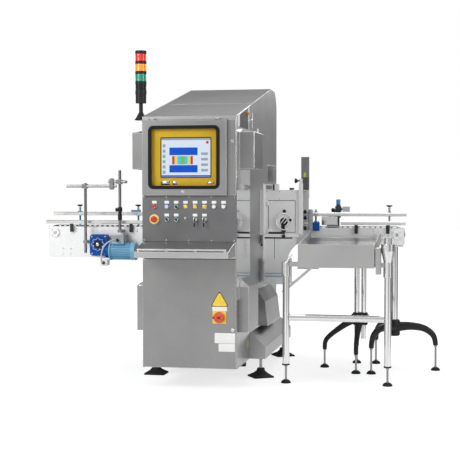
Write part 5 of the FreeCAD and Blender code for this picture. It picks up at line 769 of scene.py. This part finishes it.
def buildWheel():
    x, z, front = 471.5, 1034.0, 870.0
    angle = np.linspace(0, 2 * np.pi, 56, endpoint=False)
    around = np.linspace(0, 2 * np.pi, 14, endpoint=False)
    # torus: ring radius 54, tube radius 7 with a slightly flattened back
    ring = 54 + 6.5 * np.cos(around)[None]
    px = x + ring * np.cos(angle)[:, None]
    pz = z + ring * np.sin(angle)[:, None]
    py = np.broadcast_to(front + 7.2 * np.sin(around)[None], px.shape)
    rim = (np.stack([px, py, pz], axis=-1).reshape(-1, 3), [f[::-1] for f in gridFaces(56, 14, True, True)])
    dish = hollowed(turnedShape((x, 876, z), (0, -1, 0), [(27, 0), (49, 2), (49, 5), (38, 5.5), (27, 4)], 56))
    core = turnedShape((x, 886, z), (0, -1, 0), [(26, 0), (27, 2), (27, 9), (23, 12), (8, 12.5), (0.4, 12.5)], 40)
    bars = [softBlock((x + dx, 874, z + dz), (0, -1, 0), 7, 50, 5, 2.5, 1.2, up=(0.62, 0, 0.78)) for dx, dz in ((-7, 6), (8, -6))]
    spokes = []
    for turn in (75, 195, 315):
        a = math.radians(turn)
        path = [(x + r * math.cos(a), front + 1, z + r * math.sin(a)) for r in (28, 40, 52)]
        spokes.append(bentTube(path, [6, 5.5, 5.5], 12, 5))
    arm = softBlock((x - 4, 868.5, z - 34), (0, -1, 0), 26, 42, 5, 4, 2)
    grip = turnedShape((x + 48, front - 4, z + 12), (0, -1, 0), [(5, 0), (5, 2), (8, 3), (10, 7), (9, 11), (5, 13), (0.4, 13.5)], 20)
    dark = [(*grip, 1), (*core, 1), (*arm, 1)]
    kit = [finish["steelPale"], finish["plasticBlack"]]
    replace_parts(makePiece("settingWheel", [rim, dish] + bars + spokes + dark, kit, "guard_wheel", 50), "guard_wheel")
    column = softBlock((x - 4, 896, z - 46), (0, -1, 0), 30, 50, 8, 3, 1.5)
    peep = turnedShape((x, 897.5, z + 72), (0, -1, 0), [(11.8, 0), (11.8, 1.5), (9, 2.6), (0.4, 3)], 32)
    makePiece("doorStay", [column, peep], finish["plasticBlack"], "guard_door", 40)
    rim = hollowed(turnedShape((x, 896.6, z + 72), (0, -1, 0), [(12.2, 0), (16.5, 0), (16.2, 1.6), (14, 2.4), (12.2, 1.6)], 40))
    makePiece("peepRim", [rim], finish["steelPale"], "guard_door", 50)


guardTrim = {"front": 900.0, "left": 362.0, "right": 545.0, "bottom": 962.0, "top": 1177.0, "gapShadeWidth": 3.6, "depth": 0.8}


def buildGuardTrim():
    # Dark strips round the door as painted shade of the gap, a seal above the ledge and a dark strip below it that is
    # partly gasket and partly painted shade of the gap, clamp on the top block, seam of the skirt.
    g = guardTrim
    mid, high = (g["left"] + g["right"]) / 2, (g["bottom"] + g["top"]) / 2
    wide, tall = g["right"] - g["left"], g["top"] - g["bottom"]
    off = g["gapShadeWidth"] / 2 + 0.4
    places = [(g["left"] - off, high, g["gapShadeWidth"], tall), (g["right"] + off, high, g["gapShadeWidth"], tall),
              (mid, g["top"] + off, wide + 4 * off, g["gapShadeWidth"]), (mid, g["bottom"] - off, wide + 4 * off, g["gapShadeWidth"])]
    # the four strips round the door are painted shade of the gap between the door and the guard
    gapShadeAndSeals = [softBlock((x, g["front"], z), (0, -1, 0), w, h, g["depth"], 0.8, 0.2) for x, z, w, h in places]
    gapShadeAndSeals.append(softBlock((416, g["front"], 953), (0, -1, 0), 118, 9, 2.5, 1, 0.4))
    gapShadeAndSeals.append(softBlock((430, 898, 920), (0, -1, 0), 196, 9, 3, 1, 0.4))
    gapShadeAndSeals.append(softBlock((403, 898, 845), (0, -1, 0), 3.2, 138, 0.8, 0.8, 0.2))
    gapShadeAndSeals.append(softBlock((398, 896, 1272), (0, -1, 0), 10, 42, 5, 2, 0.8))
    makePiece("guardGapShadeAndSeals", gapShadeAndSeals, finish["rubberBlack"], "machine", 40)
    clamp = [softBlock((366, 896, 1272), (0, -1, 0), 42, 26, 2.4, 2, 0.8)]
    clamp += [screwAt(352 + 28 * i, 893.6, 1272, (0, -1, 0)) for i in range(2)]
    makePiece("topClamp", clamp, finish["steelDull"], "machine", 40)


buildWheel()
buildGuardTrim()

chuteBand = {"x": 410.0, "z": 664.0, "width": 156.0, "height": 24.0, "face": 900.0, "depth": 8.0, "edge": 4.0}


def buildChuteBand():
    # Pale plate across the chute with a light blue strip along its top and bottom.
    b = chuteBand
    plate = softBlock((b["x"], b["face"], b["z"]), (0, -1, 0), b["width"], b["height"], b["depth"], 3, 1)
    rise = (b["height"] - b["edge"]) / 2 - 1
    strips = [softBlock((b["x"], b["face"] - b["depth"], b["z"] + side * rise), (0, -1, 0), b["width"] - 8, b["edge"], 1.0, 1.5, 0.4) for side in (-1, 1)]
    makePiece("chuteBand", [(*plate, 0)] + [(*s, 1) for s in strips], [finish["steelPale"], finish["airBlue"]], "machine", 40)


buildChuteBand()


def buildDriveFace():
    # Lobed cover ring, dark seal, bright shaft end and a ring of screws on the reducer's front.
    x, z = -881.0, 864.0
    star = hollowed(lobedShape((x, 916.2, z), (0, -1, 0), [(29, 0), (45, 0), (46.5, 1.5), (45, 5.5), (33, 6.5), (29, 6)], 8, 0.09, 96))
    edge = hollowed(lobedShape((x, 911.4, z), (0, -1, 0), [(41.5, 0), (44.5, 0), (44.2, 1.2), (41.8, 1.2)], 8, 0.09, 96))
    seal = turnedShape((x, 912, z), (0, -1, 0), [(28.5, 0), (28.5, 5), (25, 7.5), (15, 6.5), (0.4, 6.5)], 40)
    end = turnedShape((x, 906, z), (0, -1, 0), [(11.5, 0), (11.5, 4), (9.5, 5.5), (4, 5.5), (3, 4), (0.4, 4)], 32)
    bolts = [boltHead(x + 37 * math.cos(a), 910, z + 37 * math.sin(a), (0, -1, 0), 3.6, 2.8) for a in (np.arange(8) + 0.5) * np.pi / 4]
    shapes = [(*star, 0), (*edge, 1), (*seal, 2), (*end, 3)] + [(*b, 3) for b in bolts]
    makePiece("driveFace", shapes, [finish["castBlue"], finish["jacketGrey"], finish["plasticBlack"], finish["steelBright"]], "machine", 40)


buildDriveFace()


def buildExitFittings():
    casting = [softBlock((642, 1025.6, 1044), (0, -1, 0), 32, 150, 30, 14, 3), turnedShape((642, 996, 1100), (0, -1, 0), [(13, 0), (13, 3), (9, 5), (0.4, 5)], 28),
               turnedShape((642, 996, 1050), (0, -1, 0), [(13, 0), (13, 3), (9, 5), (0.4, 5)], 28)]
    rods = [turnedShape((630, 1008, z), (-1, -0.55, 0), [(5, 0), (5, 20)], 16) for z in (1100, 1058, 985)]
    makePiece("exitCasting", casting + rods, finish["castGrey"], "machine", 45)
    knobs = [lobedShape((613, 998.6, z), (-1, -0.55, 0), [(5, 0), (11, 2), (13, 5), (13, 15), (10, 19), (0.4, 20)], 5, 0.10, 40) for z in (1100, 1058, 985)]
    regulatorKnob = lobedShape((787, 1330, 1108), (-1, -0.2, 0), [(5, 0), (5, 8), (12, 10), (14, 14), (14, 28), (10, 33), (0.4, 34)], 5, 0.12, 40)
    makePiece("exitKnobs", knobs + [regulatorKnob], finish["plasticBlack"], "machine", 45)
    block = softBlock((682, 1025.6, 998), (0, -1, 0), 44, 60, 33, 3, 1.5)
    ports = [turnedShape((670 + 12 * i, 1008, 1028), (0, 0, 1), [(4.5, -1), (4.5, 4), (3.4, 5), (3.4, 9), (2, 10), (0.4, 10)], 16) for i in range(3)]
    makePiece("valveBlock", [(*block, 0)] + [(*q, 1) for q in ports], [finish["castBlue"], finish["plasticBlack"]], "machine", 45)
    lamp = softBlock((566, 1278.2, 1364), (0, -1, 0), 17, 34, 1.4, 3, 0.5)
    makePiece("columnLamp", [lamp], finish["tagGreen"], "machine")
    foot = [softBlock((566, 1300, 1196), (0, 0, 1), 66, 52, 4, 3, 1)]
    makePiece("columnFoot", foot, finish["steelPale"], "machine")


buildExitFittings()


def buildFeet():
    pads = []
    steel = []
    for x, turn in ((-361.0, 0.0), (361.0, 32.0)):
        for y in (572.0, 1600.0):
            c, s = math.cos(math.radians(turn)), math.sin(math.radians(turn))
            levels = [(70, 0.2), (70, 8), (68, 11), (63, 12.5), (56, 18), (46, 25), (38, 30), (35, 36), (31, 38), (27, 46), (25, 58), (22, 61.5)]
            rings = []
            for half, high in levels:
                outline = roundedOutline(2 * half, 2 * half, max(8, 30 - half * 0.3) if half > 30 else half * 0.95, 5)
                spun = np.stack([outline[:, 0] * c - outline[:, 1] * s, outline[:, 0] * s + outline[:, 1] * c], axis=1)
                rings.append(np.stack([x + spun[:, 0], y + spun[:, 1], np.full(len(spun), high)], axis=1))
            n = len(rings[0])
            faces = gridFaces(len(rings), n) + [list(range(n))[::-1], list(range((len(rings) - 1) * n, len(rings) * n))]
            pads.append((np.concatenate(rings), faces))
            steel.append(turnedShape((x, y, 61), (0, 0, 1), [(12, 0), (12, 4), (10, 5), (10, 94)], 20))
            for z in (119.0, 143.0):
                steel.append(turnedShape((x, y, z), (0, 0, 1), [(15, 0), (16, 1), (16, 11), (15, 12)], 6))
    steel = [(p, f, 1) for p, f in steel]
    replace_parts(makePiece("levelFeet", pads + steel + roundFeet(), [finish["rubberBlack"], finish["steelRod"]], "machine"), "levelling_feet")


def roundFeet():
    stand = [(562.0, 359.0, 118.0, 30), (1216.0, 359.0, 118.0, 30)]
    for a in (120.0, 240.0, 0.0):
        stand.append((1222 + 285 * math.cos(math.radians(a)), 1080 + 285 * math.sin(math.radians(a)), 176.0, 0))
    for a in (180.0, 268.0, 100.0):
        stand.append((985 + 250 * math.cos(math.radians(a)), 1080 + 250 * math.sin(math.radians(a)), 130.0, 0))
    shapes = []
    for x, y, seat, rise in stand:
        dome = [(30, 0.2), (32, 1.5), (32, 5), (30, 10), (25, 16), (18, 21), (12, 23), (10, 24)]
        shapes.append(turnedShape((x, y, 0), (0, 0, 1), dome, 32))
        p, f = turnedShape((x, y, 23), (0, 0, 1), [(9, 0), (10, 2), (8, 6), (7, 7), (7, seat + rise - 23)], 18)
        shapes.append((p, f, 1))
        p, f = turnedShape((x, y, seat - 10), (0, 0, 1), [(11, 0), (12, 1), (12, 9), (11, 10)], 6)
        shapes.append((p, f, 1))
    return shapes


buildFeet()

standTrim = {"posts": (562.0, 1216.0), "y": 359.0, "low": 117.0, "inner": 23.6, "outer": 25.0, "height": 10.0}


def buildStandTrim():
    # Black plastic rings round the lower ends of the two posts.
    s = standTrim
    profile = [(s["inner"], 0), (s["outer"], 0.6), (s["outer"], s["height"] - 0.8), (s["inner"], s["height"])]
    rings = [hollowed(turnedShape((x, s["y"], s["low"]), (0, 0, 1), profile, 32)) for x in s["posts"]]
    makePiece("tubePlugs", rings, finish["plasticBlack"], "machine", 40)


buildStandTrim()
print("feet done")

# ---- pedestals ----


def buildPedestals():
    x, y = 1222.0, 1080.0
    shapes = []
    for a in (120.0, 240.0, 0.0):
        c, s = math.cos(math.radians(a)), math.sin(math.radians(a))
        path = [(x + r * c, y + r * s, z) for r, z in ((20, 300), (110, 306), (190, 296), (240, 272), (268, 244), (280, 212), (285, 177))]
        shapes.append(bentTube(path, [34, 28, 24, 22, 20, 18, 17], 18, 6))
    shapes.append(turnedShape((x, y, 236), (0, 0, 1), [(30, 0), (38, 4), (40, 14), (40, 100), (36, 112), (28, 116)], 32))
    steel = [turnedShape((x, y, 340), (0, 0, 1), [(24, 0), (24, 519)], 32), softBlock((x, y, 859), (0, 0, 1), 118, 108, 12, 6, 2)]
    x2 = 985.0
    for a in (180.0, 268.0, 100.0):
        c, s = math.cos(math.radians(a)), math.sin(math.radians(a))
        path = [(x2 + r * c, y + r * s, z) for r, z in ((20, 352), (90, 318), (170, 262), (225, 215), (246, 180), (250, 131))]
        shapes.append(bentTube(path, [28, 24, 19, 17, 16, 15], 16, 6))
    shapes.append(softBlock((x2, y, 308), (0, 0, 1), 104, 64, 86, 16, 6))
    for dx in (-24, 24):
        steel.append(turnedShape((x2 + dx, y, 210), (0, 0, 1), [(14, 0), (17.8, 0.5), (18, 2), (18, 649)], 28))
    steel.append(softBlock((x2, y, 859), (0, 0, 1), 118, 108, 12, 6, 2))
    # clamp levers on the castings
    for cx, cz, ax in ((x - 44, 330, (-1, -0.4, 0.3)), (x2 - 30, 372, (-0.7, -0.7, 0.2)), (x2 + 40, 366, (0.6, -0.8, 0.3))):
        shapes.append(lobedShape((cx, y - 26, cz), ax, [(5, 0), (5, 14), (12, 18), (14, 24), (11, 32), (0.4, 34)], 5, 0.12, 40))
    steel = [(p, f, 1) for p, f in steel]
    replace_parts(makePiece("pedestals", shapes + steel, [finish["castBlack"], finish["steelTube"]], "machine", 40), "support_tripod")


buildPedestals()
print("pedestals done")

# ---- cords ----


def cordPiece(name, points, diameter, material, body):
    curve = bpy.data.curves.new(name, "CURVE")
    curve.dimensions = "3D"
    curve.bevel_depth = diameter / 2
    curve.bevel_resolution = 5
    curve.resolution_u = 12
    curve.use_fill_caps = True
    spline = curve.splines.new("NURBS")
    spline.points.add(len(points) - 1)
    for point, place in zip(spline.points, toFrame(points)):
        point.co = (*place, 1.0)
    spline.order_u = 3
    spline.use_endpoint_u = True
    curve.materials.append(material)
    piece = bpy.data.objects.new(name, curve)
    bpy.context.scene.collection.objects.link(piece)
    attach(piece, body)
    return piece


motorCable = {"route": [(-735.0, 894.875, 895.0), (-735.0, 846.0, 896.0), (-764.0, 818.0, 893.0), (-802.0, 808.0, 862.0),
                        (-822.0, 812.0, 815.0), (-832.0, 830.0, 768.0), (-838.0, 866.0, 737.0), (-838.0, 905.0, 733.0)],
              "diameter": 0.010, "length": 0.315}
cable = cordPiece("motorLead", motorCable["route"], motorCable["diameter"], finish["jacketGrey"], "machine")
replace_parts(cable, "motor_cable")
airHose = {"route": [(780.0, 1308.0, 1090.0), (778.0, 1308.0, 1078.0), (764.0, 1302.0, 1067.0), (745.0, 1285.0, 1066.0), (741.0, 1262.0, 1058.0),
                     (742.0, 1256.0, 1030.0), (745.0, 1262.0, 995.0), (748.0, 1272.0, 985.0), (748.0, 1280.0, 983.0)], "diameter": 0.006, "length": 0.170}
hose = cordPiece("airHose", airHose["route"], airHose["diameter"], finish["hoseRed"], "machine")
glands = [turnedShape(motorCable["route"][0], (0, 1, 0), [(5.1, -16), (6.2, -15), (8.5, -4), (11.5, -1), (12, 6), (10.2, 8)], 24),
          turnedShape(motorCable["route"][-1], (0, -1, 0), [(12, 0), (12, 8), (9, 10), (6.5, 20), (5.1, 24)], 24)]
makePiece("cableGlands", glands, finish["plasticBlack"], "machine", 40)
print("cords done")

# ---- connector under the cabinet edge ----


def buildConnector():
    shapes = [softBlock((270, 360, 131), (0, 0, -1), 56, 42, 30, 6, 2), turnedShape((240, 300, 131), (0, 0, -1), [(20, 0), (20, 6), (15, 9), (11, 22), (9, 23)], 24)]
    makePiece("cableEntry", shapes, finish["plasticBlack"], "machine")
    tag = [softBlock((300, 419, 239), (1, 0, 0), 22, 44, 1.6, 3, 0.5)]
    makePiece("greenTag", tag, finish["tagGreen"], "machine")


buildConnector()
print("connector done")

# ---- floor, light, camera ----


def studioCards(tree, x, y):
    # Brightness by compass direction: white screens with dark strips between them, as card stands in a studio.
    turn = addNode(tree, "ShaderNodeMath", {0: y, 1: x}, operation="ARCTAN2")
    around = addNode(tree, "ShaderNodeMapRange", {"Value": turn.outputs[0], "From Min": -math.pi, "From Max": math.pi})
    return ramp(tree, around.outputs["Result"], [(0.0, 0.12), (0.045, 0.12), (0.065, 0.95), (0.17, 0.95), (0.225, 0.85), (0.27, 1.0), (0.32, 0.35), (0.36, 0.15),
                                                 (0.41, 0.90), (0.455, 1.0), (0.48, 0.12), (0.68, 0.14), (0.705, 0.72), (0.745, 0.72), (0.78, 0.16),
                                                 (0.94, 0.14), (1.0, 0.12)])


def buildStage():
    mesh = bpy.data.meshes.new("floor")
    corners = np.array([(-30, -30, 0), (30, -30, 0), (30, 30, 0), (-30, 30, 0)], float)
    mesh.from_pydata(corners.tolist(), [], [(0, 1, 2, 3)])
    material, tree, shader = newMaterial("floorPale")
    tree.nodes.remove(shader)
    output = tree.nodes["Material Output"]
    rays = addNode(tree, "ShaderNodeLightPath")
    seen = addNode(tree, "ShaderNodeMath", {0: rays.outputs["Is Camera Ray"], 1: rays.outputs["Is Glossy Ray"]}, operation="MAXIMUM")
    seen = addNode(tree, "ShaderNodeMath", {0: seen.outputs[0], 1: rays.outputs["Is Transmission Ray"]}, operation="MAXIMUM")
    matt = addNode(tree, "ShaderNodeBsdfDiffuse", {"Color": (0.86, 0.86, 0.86, 1)})
    # the glow grows away from the object, so that the floor stays white where the lamps don't reach
    coords = addNode(tree, "ShaderNodeTexCoord")
    reach = addNode(tree, "ShaderNodeVectorMath", {0: coords.outputs["Object"]}, operation="LENGTH")
    far = addNode(tree, "ShaderNodeMapRange", {"Value": reach.outputs["Value"], "From Min": 1.6, "From Max": 5.0, "To Min": 0.70, "To Max": 0.93})
    split = addNode(tree, "ShaderNodeSeparateXYZ", {"Vector": coords.outputs["Object"]})
    cards = studioCards(tree, split.outputs["X"], split.outputs["Y"])
    away = addNode(tree, "ShaderNodeMapRange", {"Value": reach.outputs["Value"], "From Min": 2.0, "From Max": 3.5})
    mirrored = addNode(tree, "ShaderNodeMath", {0: away.outputs["Result"], 1: rays.outputs["Is Glossy Ray"]}, operation="MULTIPLY")
    dimmed = addNode(tree, "ShaderNodeMix", {"Factor": mirrored.outputs[0]}, data_type="RGBA")
    dimmed.inputs[6].default_value = (1, 1, 1, 1)
    tree.links.new(cards, dimmed.inputs[7])
    glow = addNode(tree, "ShaderNodeEmission", {"Color": dimmed.outputs[2], "Strength": far.outputs["Result"]})
    both = addNode(tree, "ShaderNodeAddShader")
    soft = addNode(tree, "ShaderNodeBsdfDiffuse", {"Color": (0.40, 0.40, 0.40, 1)})
    tree.links.new(soft.outputs[0], both.inputs[0])
    tree.links.new(glow.outputs[0], both.inputs[1])
    mix = addNode(tree, "ShaderNodeMixShader", {0: seen.outputs[0]})
    tree.links.new(matt.outputs[0], mix.inputs[1])
    tree.links.new(both.outputs[0], mix.inputs[2])
    tree.links.new(mix.outputs[0], output.inputs["Surface"])
    mesh.materials.append(material)
    floor = bpy.data.objects.new("floor", mesh)
    bpy.context.scene.collection.objects.link(floor)
    world = bpy.data.worlds.new("studio")
    bpy.context.scene.world = world
    world.use_nodes = True
    tree = world.node_tree
    background = tree.nodes["Background"]
    output = tree.nodes["World Output"]
    background.inputs["Color"].default_value = (0.95, 0.97, 1.0, 1)
    background.inputs["Strength"].default_value = 0.40
    rays = addNode(tree, "ShaderNodeLightPath")
    coords = addNode(tree, "ShaderNodeTexCoord")
    split = addNode(tree, "ShaderNodeSeparateXYZ", {"Vector": coords.outputs["Generated"]})
    height = addNode(tree, "ShaderNodeMapRange", {"Value": split.outputs["Z"], "From Min": -0.15, "From Max": 0.9})
    gradient = ramp(tree, height.outputs["Result"], [(0.0, 0.62), (0.2, 0.52), (0.5, 0.80), (1.0, 0.95)])
    cards = studioCards(tree, split.outputs["X"], split.outputs["Y"])
    carded = addNode(tree, "ShaderNodeMix", {"Factor": 1.0}, data_type="RGBA", blend_type="MULTIPLY")
    tree.links.new(gradient, carded.inputs[6])
    tree.links.new(cards, carded.inputs[7])
    shine = addNode(tree, "ShaderNodeBackground", {"Color": carded.outputs[2], "Strength": 1.0})
    white = addNode(tree, "ShaderNodeBackground", {"Color": (1, 1, 1, 1), "Strength": 1.0})
    clear = addNode(tree, "ShaderNodeMath", {0: rays.outputs["Is Camera Ray"], 1: rays.outputs["Is Transmission Ray"]}, operation="MAXIMUM")
    first = addNode(tree, "ShaderNodeMixShader", {0: rays.outputs["Is Glossy Ray"]})
    tree.links.new(background.outputs[0], first.inputs[1])
    tree.links.new(shine.outputs[0], first.inputs[2])
    second = addNode(tree, "ShaderNodeMixShader", {0: clear.outputs[0]})
    tree.links.new(first.outputs[0], second.inputs[1])
    tree.links.new(white.outputs[0], second.inputs[2])
    tree.links.new(second.outputs[0], output.inputs["Surface"])


lights = {
    "keyLight": ((-3.4, -4.2, 3.6), (2.6, 2.6), 190.0),
    "sideLight": ((4.4, -2.6, 2.6), (1.8, 2.6), 90.0),
    "topLight": ((0.0, 0.4, 4.6), (3.2, 3.2), 70.0),
    "backLight": ((1.5, 4.2, 3.4), (2.4, 1.8), 60.0),
}


def buildLights():
    for name, (place, size, power) in lights.items():
        data = bpy.data.lights.new(name, "AREA")
        data.shape = "RECTANGLE"
        data.size, data.size_y = size
        data.energy = power
        lamp = bpy.data.objects.new(name, data)
        away = np.array(place) - np.array([0.0, 0.0, 1.1])
        pitch = math.atan2(math.hypot(away[0], away[1]), away[2])
        lamp.rotation_euler = (pitch, 0.0, math.atan2(away[0], -away[1]))
        lamp.location = place
        bpy.context.scene.collection.objects.link(lamp)


camera = {"place": (1620.0, -7007.0, 1229.0), "pitch": 1.82, "yaw": 10.97, "lens": 90.03}


def buildCamera():
    data = bpy.data.cameras.new("viewCamera")
    data.lens = camera["lens"]
    data.sensor_width = 36.0
    eye = bpy.data.objects.new("viewCamera", data)
    eye.location = toFrame(camera["place"])
    eye.rotation_euler = Euler((math.radians(90 - camera["pitch"]), 0.0, math.radians(camera["yaw"])))
    bpy.context.scene.collection.objects.link(eye)
    bpy.context.scene.camera = eye


buildStage()
buildLights()
buildCamera()
bpy.context.scene.view_settings.view_transform = "Standard"
print("stage, light and camera done")
